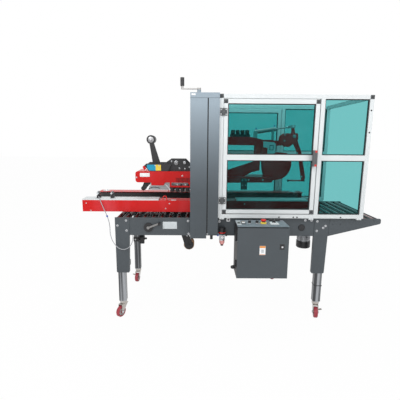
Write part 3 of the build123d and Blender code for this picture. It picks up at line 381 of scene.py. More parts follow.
class SealerColours(bpy.types.PropertyGroup):
    """Colours of the machine's finishes."""

    frame_grey: FloatVectorProperty(
        name="Frame grey", description="Powder coat of the bed, legs, column and box",
        default=(0.056, 0.067, 0.076), subtype="COLOR", min=0.0, max=1.0,
    )
    signal_red: FloatVectorProperty(
        name="Signal red", description="Gloss paint of the belt housings and the head",
        default=(0.58, 0.012, 0.012), subtype="COLOR", min=0.0, max=1.0,
    )
    pane_teal: FloatVectorProperty(
        name="Pane teal", description="Tint of the guard's clear panes, for one of a pane's two faces",
        default=(0.42, 0.735, 0.735), subtype="COLOR", min=0.0, max=1.0,
    )
    bar_silver: FloatVectorProperty(
        name="Bar silver", description="Anodised guard bars",
        default=(0.66, 0.69, 0.70), subtype="COLOR", min=0.0, max=1.0,
    )
    tread_red: FloatVectorProperty(
        name="Tread red", description="Caster treads",
        default=(0.30, 0.03, 0.045), subtype="COLOR", min=0.0, max=1.0,
    )
    patch_teal: FloatVectorProperty(
        name="Patch teal", description="Blank teal patch on the head's bracket",
        default=(0.0, 0.31, 0.5), subtype="COLOR", min=0.0, max=1.0,
    )
    patch_yellow: FloatVectorProperty(
        name="Patch yellow", description="Blank yellow patch on the head's bracket, and the stop's ring",
        default=(0.85, 0.62, 0.06), subtype="COLOR", min=0.0, max=1.0,
    )
    patch_orange: FloatVectorProperty(
        name="Patch orange", description="Band of the blank patch on the control box's door",
        default=(0.75, 0.26, 0.03), subtype="COLOR", min=0.0, max=1.0,
    )


class SealerSizes(bpy.types.PropertyGroup):
    """Sizes of the small parts."""

    bolt_radius: FloatProperty(
        name="Bolt radius", description="Radius of the bolt heads on the legs and the bed",
        default=0.0052, unit="LENGTH", min=0.001,
    )
    bolt_sides: IntProperty(
        name="Bolt sides", description="Sides round a bolt head's rim", default=20, min=6, max=48,
    )
    gasket_width: FloatProperty(
        name="Gasket width", description="Width of the rubber that shows round each pane",
        default=0.0056, unit="LENGTH", min=0.001,
    )
    corner_cap: FloatProperty(
        name="Corner cap", description="Side of the square caps on the guard's corners",
        default=0.0244, unit="LENGTH", min=0.001,
    )
    lead_diameter: FloatProperty(
        name="Lead diameter", description="Diameter of the sensor's lead",
        default=0.005, unit="LENGTH", min=0.001,
    )


MATERIALS = {}


def coat(node, material):
    """Gives a CAD node's object one material."""
    mesh = NODES[node].data
    mesh.materials.clear()
    mesh.materials.append(MATERIALS[material])


# Small parts, drawn in millimetres: how near two corners are to be one, and the angle of a sharp edge
MERGE_DISTANCE = 0.001
SHARP_ANGLE = radians(32)


def tube_mesh(route, radius):
    """A tube along a smooth curve, and the points that the curve follows, in the route's own units."""
    curve = bpy.data.curves.new("line", "CURVE")
    curve.dimensions = "3D"
    curve.resolution_u = 12
    curve.use_fill_caps = True
    line = curve.splines.new("NURBS")
    line.points.add(len(route) - 1)
    for point, spot in zip(line.points, route):
        point.co = (*spot, 1.0)
    line.order_u = 3
    line.use_endpoint_u = True
    drawn = bpy.data.objects.new("line", curve)
    path = [tuple(v.co) for v in bpy.data.meshes.new_from_object(drawn).vertices]
    curve.bevel_depth = radius
    curve.bevel_resolution = 4
    tube = bpy.data.meshes.new_from_object(drawn)
    bpy.data.objects.remove(drawn)
    return tube, path


def aimed(spot, way):
    """The place and turn of a shape that was drawn standing on the origin."""
    turn = Vector(UP).rotation_difference(Vector(way)).to_matrix().to_4x4()
    return Matrix.Translation(spot) @ turn


def round_edges(part, offset, segments):
    """Rounds or chamfers every edge of a part."""
    bmesh.ops.bevel(
        part, geom=part.edges[:], offset=offset, affect="EDGES", segments=segments, profile=0.5, material=-1
    )


def thicken(part, way):
    """Draws the faces of a flat part out into a solid, with its normals outwards."""
    made = bmesh.ops.extrude_face_region(part, geom=part.faces[:])["geom"]
    moved = [item for item in made if isinstance(item, bmesh.types.BMVert)]
    bmesh.ops.translate(part, vec=way, verts=moved)
    bmesh.ops.recalc_face_normals(part, faces=part.faces)


class Piece:
    """Small parts joined into one mesh, drawn in millimetres from the gantry's centre line."""

    def __init__(self, name, body, slot):
        self.name = name
        self.body = body
        self.slot = slot
        self.mesh = bmesh.new()
        self.materials = []

    def take(self, part, material):
        """Joins a part to the piece in one material."""
        if material not in self.materials:
            self.materials.append(material)
        for face in part.faces:
            face.material_index = self.materials.index(material)
        data = bpy.data.meshes.new("part")
        part.to_mesh(data)
        part.free()
        self.mesh.from_mesh(data)
        bpy.data.meshes.remove(data)

    def block(self, material, low, high, edge=0.0, turn=None):
        """A block between two corners, with rounded edges."""
        low, high = Vector(low), Vector(high)
        part = bmesh.new()
        bmesh.ops.create_cube(part, size=1.0)
        bmesh.ops.scale(part, vec=[abs(side) for side in high - low], verts=part.verts)
        if edge:
            round_edges(part, edge, 2)
        matrix = Matrix.Translation((low + high) / 2)
        bmesh.ops.transform(part, matrix=matrix @ turn if turn else matrix, verts=part.verts)
        self.take(part, material)

    def turned(self, material, outline, spot, way=UP, steps=24, ring=False):
        """A shape turned from an outline of radius and height, standing on a spot and facing a way."""
        part = bmesh.new()
        corners = [part.verts.new((radius, 0.0, height)) for radius, height in outline]
        ends = corners[1:] + corners[:1] if ring else corners[1:]
        edges = [part.edges.new(pair) for pair in zip(corners, ends)]
        bmesh.ops.spin(
            part, geom=corners + edges, cent=(0, 0, 0), axis=UP, angle=2 * pi, steps=steps, use_merge=True
        )
        bmesh.ops.remove_doubles(part, verts=part.verts, dist=MERGE_DISTANCE)
        bmesh.ops.recalc_face_normals(part, faces=part.faces)
        bmesh.ops.transform(part, matrix=aimed(spot, way), verts=part.verts)
        self.take(part, material)

    def rod(self, material, start, end, radius, edge=0.5, steps=20):
        """A round bar with rounded rims between two points."""
        run = Vector(end) - Vector(start)
        reach, flat = run.length, radius - edge
        outline = [(0, 0), (flat, 0), (radius, edge), (radius, reach - edge), (flat, reach), (0, reach)]
        self.turned(material, outline, start, run, steps)

    def disc(self, material, spot, way, radius, height, low=0.0, steps=24):
        """A plain round plate, from one height to another above a spot."""
        self.turned(material, [(0, low), (radius, low), (radius, height), (0, height)], spot, way, steps)

    def collar(self, material, spot, way, inner, outer, height, low=0.0, steps=24):
        """A plain ring with an open bore."""
        outline = [(inner, low), (outer, low), (outer, height), (inner, height)]
        self.turned(material, outline, spot, way, steps, ring=True)

    def plate(self, material, corners, y0, y1, edge=0.0):
        """A plate drawn in X and Z, between two places across the machine."""
        part = bmesh.new()
        part.faces.new([part.verts.new((x, y0, z)) for x, z in corners])
        thicken(part, (0, y1 - y0, 0))
        if edge:
            round_edges(part, edge, 1)
        self.take(part, material)

    def ring(self, material, low, high, width, flat="Y"):
        """A rectangular ring between two corners, open along one axis."""
        low, high = Vector(low), Vector(high)
        size = [abs(side) for side in high - low]
        across, up, depth = (size[0], size[2], size[1]) if flat == "Y" else size
        part = bmesh.new()
        bmesh.ops.create_grid(part, x_segments=1, y_segments=1, size=0.5)
        bmesh.ops.scale(part, vec=(across, up, 1.0), verts=part.verts)
        inside = part.faces[:]
        bmesh.ops.inset_individual(part, faces=inside, thickness=width, use_even_offset=True)
        bmesh.ops.delete(part, geom=inside, context="FACES")
        thicken(part, (0, 0, depth))
        bmesh.ops.translate(part, vec=(0, 0, -depth / 2), verts=part.verts)
        turn = Matrix.Rotation(radians(90), 4, "X") if flat == "Y" else Matrix()
        bmesh.ops.transform(part, matrix=Matrix.Translation((low + high) / 2) @ turn, verts=part.verts)
        self.take(part, material)

    def bent(self, material, route, radius):
        """A round bar bent along a smooth line."""
        tube = tube_mesh(route, radius)[0]
        part = bmesh.new()
        part.from_mesh(tube)
        bpy.data.meshes.remove(tube)
        self.take(part, material)

    def bolt(self, spot, way, radius=None, material="bolt"):
        """A button head screw on a washer, with a six sided socket."""
        sizes = bpy.context.scene.sealer_sizes
        r = radius or sizes.bolt_radius / MM
        washer = [(0, -0.4), (r * 1.45, -0.4), (r * 1.45, 0.8), (r, 1.0)]
        dome = ((1, 0.3), (0.78, 0.6), (0.46, 0.65), (0.44, 0.3), (0, 0.3))
        head = washer + [(r * across, r * up + 1.0) for across, up in dome]
        self.turned(material, head, spot, way, sizes.bolt_sides)
        # The socket is a flat six sided disc of painted shade inside the dome, not a hole
        recess = ((0, 0.2), (0.43, 0.2), (0.41, 0.34), (0, 0.34))
        self.turned("socket", [(r * across, r * up + 1.0) for across, up in recess], spot, way, 6)

    def bolts(self, places, face, side, radius=None, material="bolt"):
        """Screws on a plane of one side of the machine, at places of X and Z."""
        for x, z in places:
            self.bolt((x, side * face, z), (0, side, 0), radius, material)

    def nut(self, spot, way, radius, height, material="bolt"):
        """A six sided nut with chamfered corners on the end of a stud."""
        shape = ((0, 0), (1, 0), (1, 0.8), (0.86, 1), (0.55, 1), (0.5, 1.25), (0, 1.25))
        self.turned(material, [(radius * across, height * up) for across, up in shape], spot, way, 6)

    def done(self):
        """Puts the piece into the scene, in metres, on the body that carries it."""
        bmesh.ops.transform(self.mesh, matrix=TO_FRAME, verts=self.mesh.verts)
        made = new_object(self.name, self.mesh, *[MATERIALS[key] for key in self.materials])
        made.data.polygons.foreach_set("use_smooth", [True] * len(made.data.polygons))
        made.data.set_sharp_from_angle(angle=SHARP_ANGLE)
        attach(made, self.body)
        return made


def new_object(name, mesh, *materials):
    """Turns a bmesh into an object in the scene."""
    data = bpy.data.meshes.new(name)
    mesh.to_mesh(data)
    mesh.free()
    for material in materials:
        data.materials.append(material)
    made = bpy.data.objects.new(name, data)
    bpy.context.scene.collection.objects.link(made)
    return made


# Stage: each lamp's place and aim in millimetres, its size in metres and its power, then the camera
LAMPS = (
    ("key", (-1600, -2600, 2600), (0, 0, 700), 1.6, 32.0),
    ("fill", (2200, -2600, 1700), (300, 0, 700), 2.0, 14.0),
    ("front", (-200, -3500, 2700), (0, 0, 1300), 2.4, 34.0),
    ("top", (100, 600, 3200), (100, 0, 700), 2.2, 20.0),
)
WHITE = (1.0, 1.0, 1.0, 1.0)
FLOOR_SHARE = 0.97
FLOOR_REACH = 20.0
SURROUND_LIGHT = 0.6
CAMERA_SPOT = (-39.6, -2417.35, 1204.76)
CAMERA_LENS = 29.715
CAMERA_HEADING, CAMERA_PITCH, CAMERA_ROLL = 0.378, 10.403, 0.414


class SEALER_OT_stage(bpy.types.Operator):
    """Floor, light and camera"""

    bl_idname = "sealer.stage"
    bl_label = "Stage"

    def execute(self, context):
        scene = context.scene
        scene.view_settings.view_transform = "Standard"
        self.floor()
        scene.world = self.surroundings()
        for name, spot, aim, size, power in LAMPS:
            light = bpy.data.lights.new(name, "AREA")
            light.size = size
            light.energy = power
            lamp = bpy.data.objects.new(name, light)
            lamp.location = place(*spot)
            lamp.rotation_euler = (place(*aim) - lamp.location).to_track_quat("-Z", "Y").to_euler()
            scene.collection.objects.link(lamp)
        self.camera(scene)
        return {"FINISHED"}

    def floor(self):
        """A matt floor that the camera and the reflections see as nearly white."""
        s = Shader("pale_floor")
        kinds = ("Is Camera Ray", "Is Glossy Ray", "Is Transmission Ray")
        seen, glossy, through = (s.node("ShaderNodeLightPath", output=kind) for kind in kinds)
        white = s.node("ShaderNodeEmission", inputs={"Color": WHITE, "Strength": 1.0})
        s.feed(Base_Color=(0.86, 0.86, 0.86, 1.0), Roughness=0.9)
        s.mix_shaders((seen + glossy + through).clipped() * FLOOR_SHARE, s.principled(), white)
        mesh = bmesh.new()
        bmesh.ops.create_grid(mesh, x_segments=1, y_segments=1, size=FLOOR_REACH)
        return new_object("studio_floor", mesh, s.material)

    def surroundings(self):
        """A white surround that lights the object less than it shows."""
        world = bpy.data.worlds.new("studio")
        world.use_nodes = True
        tree = world.node_tree
        background = tree.nodes["Background"]
        path = tree.nodes.new("ShaderNodeLightPath")
        seen = path.outputs["Is Camera Ray"]
        for kind in ("Is Transmission Ray", "Is Glossy Ray"):
            either = tree.nodes.new("ShaderNodeMath")
            either.operation = "MAXIMUM"
            tree.links.new(seen, either.inputs[0])
            tree.links.new(path.outputs[kind], either.inputs[1])
            seen = either.outputs[0]
        strength = tree.nodes.new("ShaderNodeMapRange")
        strength.inputs["To Min"].default_value = SURROUND_LIGHT
        strength.inputs["To Max"].default_value = 1.0
        tree.links.new(seen, strength.inputs["Value"])
        tree.links.new(strength.outputs["Result"], background.inputs["Strength"])
        background.inputs["Color"].default_value = WHITE
        return world

    def camera(self, scene):
        """A camera at the photograph's place, in front of the gantry and looking a little down."""
        data = bpy.data.cameras.new("photo_camera")
        data.sensor_fit = "HORIZONTAL"
        data.sensor_width = 36.0
        data.lens = CAMERA_LENS
        camera = bpy.data.objects.new("photo_camera", data)
        turn = Matrix()
        for angle, axis in ((-CAMERA_HEADING, "Z"), (90.0 - CAMERA_PITCH, "X"), (CAMERA_ROLL, "Z")):
            turn = turn @ Matrix.Rotation(radians(angle), 4, axis)
        camera.matrix_world = Matrix.Translation(place(*CAMERA_SPOT)) @ turn
        scene.collection.objects.link(camera)
        scene.camera = camera


# Marks parted from their surroundings by place: the door handles' red ends, and on the control box's
# door the lock, its bolt, the blank patch, the grey field in it, and its bands at the head and foot
HANDLE_WIDTH = 23
HANDLE_ENDS = ((1045, 1058), (1130, 1143))
BOX_MARKS = (
    ((454, 482), (556, 590)), ((465, 475), (566, 576)), ((333, 369), (522, 579)), ((343, 359), (536, 556)),
    ((334, 368), (566, 578)), ((334, 368), (523, 526)),
)


class SEALER_OT_finishes(bpy.types.Operator):
    """Procedural finish of every CAD node"""

    bl_idname = "sealer.finishes"
    bl_label = "Finishes"

    def execute(self, context):
        colours = context.scene.sealer_colours
        m = MATERIALS
        m["grey"] = powder_coat("grey_powder_coat", colours.frame_grey)
        # The columns and crossbeam are paler towards the top: painted light
        m["column"] = powder_coat("column_powder_coat", (0.054, 0.067, 0.078), 0.34, 4.2)
        m["red"] = gloss_paint("red_gloss_paint", colours.signal_red)
        m["deep_red"] = gloss_paint("deep_red_paint", shade(colours.signal_red, 0.55), 0.1)
        m["black"] = powder_coat("black_coat", (0.014, 0.014, 0.016), 0.4)
        # The rollers' steel is tinted red: a painted reflection of the red parts around them
        m["roller"] = brushed_metal("roller_steel_red_reflection", (0.2, 0.13, 0.13), (40.0, 900.0, 40.0), 0.14)
        m["shaft"] = brushed_metal("ground_shaft", (0.36, 0.36, 0.37), (300.0, 300.0, 300.0), 0.22)
        m["tube"] = drawn_tube("leg_tube", (0.07, 0.073, 0.077))
        m["rail"] = brushed_metal("rail_silver", colours.bar_silver, (30.0, 600.0, 600.0), 0.42, 0.3)
        m["zinc"] = zinc_plate("caster_zinc", (0.50, 0.47, 0.44))
        m["bolt"] = zinc_plate("bolt_zinc", (0.62, 0.63, 0.65), 0.2)
        m["pane"] = tinted_pane("teal_pane", colours.pane_teal, 0.22)
        # The bowl's pink tint is a painted reflection of red surroundings
        m["bowl"] = tinted_pane("clear_bowl", (0.82, 0.56, 0.55), 0.7)
        m["belt"] = rubber("belt_rubber", (0.014, 0.014, 0.015), 0.5)
        m["press"] = rubber("press_rubber", (0.02, 0.02, 0.02), 0.6)
        m["gasket"] = rubber("pane_gasket", (0.012, 0.013, 0.014), 0.55)
        m["tread"] = rubber("red_tread", colours.tread_red, 0.4)
        m["plastic"] = plastic("black_plastic", (0.014, 0.014, 0.016), 0.34)
        # socket_shadow is near black: in screw sockets, holes, recesses, slots and seams it is painted shade;
        # on the sensors' lenses it is their own dark colour
        m["socket"] = plastic("socket_shadow", (0.006, 0.006, 0.006), 0.7)
        m["cap"] = plastic("corner_cap_plastic", (0.06, 0.066, 0.07), 0.5)
        m["hub"] = plastic("wheel_hub_plastic", (0.34, 0.33, 0.32), 0.45)
        m["white"] = plastic("blank_white_patch", (0.82, 0.83, 0.84), 0.35)
        m["pale"] = plastic("pale_grey_plate", (0.56, 0.6, 0.62), 0.35)
        m["teal"] = plastic("blank_teal_patch", colours.patch_teal, 0.3)
        m["yellow"] = plastic("blank_yellow_patch", colours.patch_yellow, 0.3)
        m["blue"] = plastic("blue_fitting", (0.005, 0.07, 0.4), 0.4)
        m["button"] = plastic("red_button", (0.72, 0.02, 0.015), 0.22)
        m["amber"] = plastic("amber_lens", (0.9, 0.3, 0.03), 0.15)
        m["lead"] = plastic("grey_lead", (0.36, 0.37, 0.39), 0.45)
        m["card"] = card("tape_paper", (0.52, 0.3, 0.15))
        self.parted(colours)
        chosen = {
            "frame_paint": "grey", "red_paint": "red", "black_paint": "black", "bare_steel": "shaft",
            "caster_steel": "zinc", "silver_bar": "bar", "motor_metal": "motor", "teal_pane": "pane",
            "clear_bowl": "bowl", "belt_rubber": "belt", "press_rubber": "press", "red_tread": "tread",
            "black_plastic": "plastic", "grey_lead": "lead",
        }
        for part in frame["record"]["subparts"]:
            coat(part["node"], chosen[part["material_slot"]])
        for node, material in (
            ("column_near", "column"), ("column_far", "column"), ("top_crossbeam", "column"),
            ("rollers", "roller"), ("leg_tubes", "tube"), ("sensor_rails", "rail"), ("guard_ties", "rail"),
            ("tape_core_lower", "card"), ("top_crank", "top_crank"), ("side_crank", "side_crank"),
            ("air_works", "air"), ("tape_head", "tape_head"), ("air_regulator", "regulator"),
            ("control_box", "box"), ("control_box_door", "box"), ("lower_tape_unit", "black"),
        ):
            coat(node, material)
        return {"FINISHED"}

    def parted(self, colours):
        """Finishes of the nodes that are two materials in one."""
        silver = ((0.30, 0.295, 0.29), 0.3, 1.0)
        black = ((0.014, 0.014, 0.016), 0.36, 0.0)
        cast = ((0.42, 0.43, 0.45), 0.42, 0.55)
        plate = ((0.36, 0.37, 0.38), 0.3, 0.9)
        cowl_top, crank_knob_low = 509 * MM, 1519 * MM
        disc_back, side_knob_start = (-BED_FACE - 9.3) * MM, -300 * MM
        cap_end, mount_top = 331 * MM, 1000 * MM
        plate_inner, plate_outer, plate_top = 36.1 * MM, 41 * MM, 902 * MM
        knob_low, gland_end = 600 * MM, 70 * MM
        MATERIALS["bar"] = self.bar_finish(colours)
        for key, name, first, second, mask in (
            ("motor", "motor_cast_and_cowl", cast, black, lambda s: s.along("Z") < cowl_top),
            ("top_crank", "top_crank_and_knob", silver, black, lambda s: s.along("Z") > crank_knob_low),
            ("side_crank", "side_crank_and_disc", silver, black,
             lambda s: (s.along("Y") > disc_back) | (s.along("X") > side_knob_start)),
            ("air", "cylinder_and_valves", silver, black,
             lambda s: (s.along("X") < cap_end) | (s.along("Z") < mount_top)),
            ("tape_head", "tape_head_plates", black, plate,
             lambda s: (abs(s.along("Y")) > plate_inner) * (abs(s.along("Y")) < plate_outer)
             * (s.along("Z") < plate_top)),
            ("regulator", "regulator_and_gland", cast, black,
             lambda s: (s.along("Z") > knob_low) | (s.along("X") < gland_end)),
        ):
            MATERIALS[key] = two_finishes(name, first, second, mask)
        MATERIALS["box"] = self.box_finish(colours, black)

    def bar_finish(self, colours):
        """Anodised bars, with the grey hinges and handle that stand proud of them and its red ends."""
        s = Shader("anodised_bar")
        drawn = s.noise(1.0, 3.0, 0.6, point=s.scaled(260.0, 260.0, 260.0))
        cloud = s.noise(9.0, 3.0)
        tone = s.vary(cloud, colours.bar_silver, 0.93, 1.05)
        depth = abs(s.along("Y"))
        proud = depth > (GUARD_FACE + 0.2) * MM
        edges = [span("door_" + name)[1].x for name in SIDES]
        low, high, far_low, far_high = (
            s.window((edge - HANDLE_WIDTH, edge), end) for edge in edges for end in HANDLE_ENDS
        )
        red = (depth > (GUARD_FACE + 20) * MM) * (low | high | far_low | far_high)
        tone = s.mix(proud, tone, (0.085, 0.09, 0.094, 1.0))
        tone = s.mix(red, tone, (0.62, 0.03, 0.02, 1.0))
        return s.feed(
            Base_Color=tone, Metallic=0.3 - proud * 0.3, Roughness=0.42 + drawn * 0.08,
            Normal=s.bump(drawn, 0.06, 0.0004),
        )

    def box_finish(self, colours, black):
        """Box and door in powder coat: a top made paler by painted light, black hinges and lock, and a blank
        patch on the door.
        """
        s = Shader("control_box_paint")
        grain, cloud, tone = powder_tone(s, colours.frame_grey)
        # Painted light: the box's top face is paler, as if lit from above
        tone = s.mix(s.along("Z") > (BOX_HIGH.z - 0.4) * MM, tone, shade(colours.frame_grey, 3.6))
        front = s.along("Y") < (BOX_DOOR_FACE + 0.5) * MM
        hinges = s.along("X") < (BOX_LOW.x + 11.2) * MM
        lock, bolt, patch, sign, head, foot = (s.window(x, z) * front for x, z in BOX_MARKS)
        for mark, colour in (
            (hinges | lock, shade(black[0], 1.0)), (bolt, (0.7, 0.7, 0.72, 1.0)),
            (patch, (0.8, 0.81, 0.82, 1.0)), (head | foot, shade(colours.patch_orange, 1.0)),
            (sign, (0.5, 0.53, 0.55, 1.0)),
        ):
            tone = s.mix(mark, tone, colour)
        edges = lock * 0.5 + bolt * 0.4 + patch * 0.2
        return s.feed(
            Base_Color=tone, Roughness=0.5 + cloud * 0.1 - lock * 0.14, Metallic=bolt * 0.6,
            Normal=s.bump(edges + grain * 0.1, 0.5, 0.002),
        )


# Sensor lead: its route in millimetres from the gantry's centre line
LEAD_ROUTE = [
    (-717, -200, 819), (-703, -230, 820), (-690, -246, 794), (-674, -249, 753), (-654, -251, 709),
    (-636, -261, 665), (-626, -276, 624), (-622, -294, 584), (-606, -314, 545), (-579, -328, 511),
    (-550, -333, 490), (-520, -332, 486), (-494, -325, 497), (-478, -313, 517), (-472, -301, 542),
    (-470, -296, 562), (-470, -296, 580),
]
LEAD_TIE_HEIGHT = 692 * MM
TIE_THICKNESS, TIE_HALF = 3.0, 6.0


class SEALER_OT_sensor_lead(bpy.types.Operator):
    """Lead from the first sensor down to the bed, with a blue tie round it"""

    bl_idname = "sealer.sensor_lead"
    bl_label = "Sensor lead"

    def execute(self, context):
        diameter = context.scene.sealer_sizes.lead_diameter
        tube, path = tube_mesh([place(*spot) for spot in LEAD_ROUTE], diameter / 2)
        tube.name = "sensor_lead"
        tube.materials.append(MATERIALS["lead"])
        lead = bpy.data.objects.new("sensor_lead", tube)
        context.scene.collection.objects.link(lead)
        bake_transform(lead)
        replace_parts(lead, "sensor_cord")
        tie = self.tie(path, diameter)
        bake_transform(tie)
        return {"FINISHED"}

    def tie(self, path, diameter):
        """A blue band round the lead below the belt housing."""
        index = min(range(1, len(path) - 1), key=lambda i: abs(path[i][2] - LEAD_TIE_HEIGHT))
        way = Vector(path[index + 1]) - Vector(path[index - 1])
        inner = diameter / 2 / MM
        outer = inner + TIE_THICKNESS
        outline = [(inner, -TIE_HALF), (outer, 0.5 - TIE_HALF), (outer, TIE_HALF - 0.5), (inner, TIE_HALF)]
        band = Piece("lead_tie", "frame", "black_plastic")
        band.turned("blue", outline, back(path[index]), way, 16, ring=True)
        bmesh.ops.transform(band.mesh, matrix=TO_FRAME, verts=band.mesh.verts)
        return new_object(band.name, band.mesh, MATERIALS["blue"])


# Guard: where the hinges are on a door, their screws above each hinge's foot, and the small screws' X and Z
HINGE_ABOVE_FOOT, HINGE_BELOW_TOP = 62, 98
HINGE_SCREWS = (8, 36)
GUARD_SCREWS = ((1012.5, 1385), (1012.5, 1253), (483, 716), (575, 716), (599, 716), (880, 716))
FOOT_SCREW_HEIGHT = 705


class SEALER_OT_guard_trim(bpy.types.Operator):
    """Rubber round the panes, corner caps, hinge screws and a latch plate on the guard"""

    bl_idname = "sealer.guard_trim"
    bl_label = "Guard trim"

    def execute(self, context):
        for name, side in SIDES.items():
            low, high = span("door_" + name)
            start = COLUMN_EDGE + BAR + 2.0

            door = Piece("door_trim_" + name, name + "_guard_door", "black_plastic")
            self.gaskets(door, start, high.x, low.z, high.z, side)
            for x in (start + BAR / 2, high.x - BAR / 2):
                for z in (low.z + BAR / 2, high.z - BAR / 2):
                    self.corner_cap(door, x, z, side)
            self.hinge_screws(door, COLUMN_EDGE + BAR + 15.5, low.z, high.z, side)
            door.done()

            fixed = Piece("guard_trim_" + name, "frame", "black_plastic")
            self.gaskets(fixed, high.x + DOOR_GAP, GUARD_END, low.z - BAR - DOOR_GAP, GUARD_TOP, side)
            for x in (COLUMN_EDGE + BAR / 2, GUARD_END - BAR / 2):
                self.corner_cap(fixed, x, GUARD_TOP - BAR / 2, side)
            self.hinge_screws(fixed, COLUMN_EDGE + BAR - 14.5, low.z, high.z, side)
            fixed.bolts(GUARD_SCREWS, GUARD_FACE, side, 3.4, "plastic")
            feet = [(x, FOOT_SCREW_HEIGHT) for x in (COLUMN_EDGE + 25, high.x - 10, GUARD_END - 25)]
            fixed.bolts(feet, GUARD_FACE, side, 2.4)
            fixed.block("white", (148, side * BED_FACE, 677), (172, side * (BED_FACE + 7), 701), 1.5)
            fixed.bolts([(160, 689)], BED_FACE + 7, side, 4.0, "plastic")
            fixed.done()
        return {"FINISHED"}

    def hinge_screws(self, piece, x, door_low, door_high, side):
        """One leaf's screws in the two hinges of a door."""
        for foot in (door_low + HINGE_ABOVE_FOOT, door_high - HINGE_BELOW_TOP):
            piece.bolts([(x, foot + up) for up in HINGE_SCREWS], GUARD_FACE + 3, side, 2.6)

    def gaskets(self, piece, x0, x1, z0, z1, side):
        """Rubber on both faces of the two panes in one frame of bars."""
        width = bpy.context.scene.sealer_sizes.gasket_width / MM
        middle = side * (GUARD_FACE - BAR / 2)
        inset = BAR + PANE_LIP
        for low, high in ((z0 + inset, RAIL_LOW), (RAIL_HIGH, z1 - inset)):
            for face in (-1, 1):
                lip = middle + face * PANE_LIP
                piece.ring(
                    "gasket", (x0 + BAR, lip - face * 0.1, low - PANE_LIP),
                    (x1 - BAR, lip + face * 1.5, high + PANE_LIP), width,
                )
                seat = middle + face * 2.0
                piece.ring("gasket", (x0 + inset, seat, low), (x1 - inset, lip, high), width - PANE_LIP)

    def corner_cap(self, piece, x, z, side):
        """A square plastic cap over the joint of two bars."""
        half = bpy.context.scene.sealer_sizes.corner_cap / MM / 2
        seat, top = side * (GUARD_FACE - 0.2), side * (GUARD_FACE + 2.0)
        piece.block("cap", (x - half, seat, z - half), (x + half, top, z + half), 0.9)
        stud = [(0, 0), (5.0, 0), (5.0, 0.6), (4.2, 0.9), (0, 0.9)]
        piece.turned("plastic", stud, (x, top, z), (0, side, 0))


# Bed and legs: bolts as X and Z, and how far the far infeed leg stands from the near one's place
EXIT_SLEEVE_BOLTS = ((-509, 679), (-507, 612), (-566, 645))
INFEED_SLEEVE_BOLTS = ((746, 681), (746, 616), (802, 650), (787, 637))
BED_BOLTS = ((-103, 678), (-99, 591), (103, 676), (103, 591), (667, 687), (708, 686))
TABLE_BOLTS = ((848, 660), (900, 660), (1120, 684))
FAR_LEG_SHIFT = -168.0

# Leg clamps: a side, where its sleeves start, how far into a sleeve a clamp begins and ends, and how
# far in the middle of the leg's tube is at the exit end and at the infeed end
LEG_CLAMPS = ((-1, (-582, 728), 20, 84), (1, (-582, 560), 3.5, 92))
EXIT_TUBE, INFEED_TUBE = 31.5, 54.5
CLAMP_Y, CLAMP_LOW, CLAMP_SCREW, CLAMP_HIGH = 255, 356, 374, 392

# Undertray: its ends along the bed and its edges on each side of the middle
TRAY_START, TRAY_END, TRAY_INNER, TRAY_OUTER = -474, -94, 66, 307


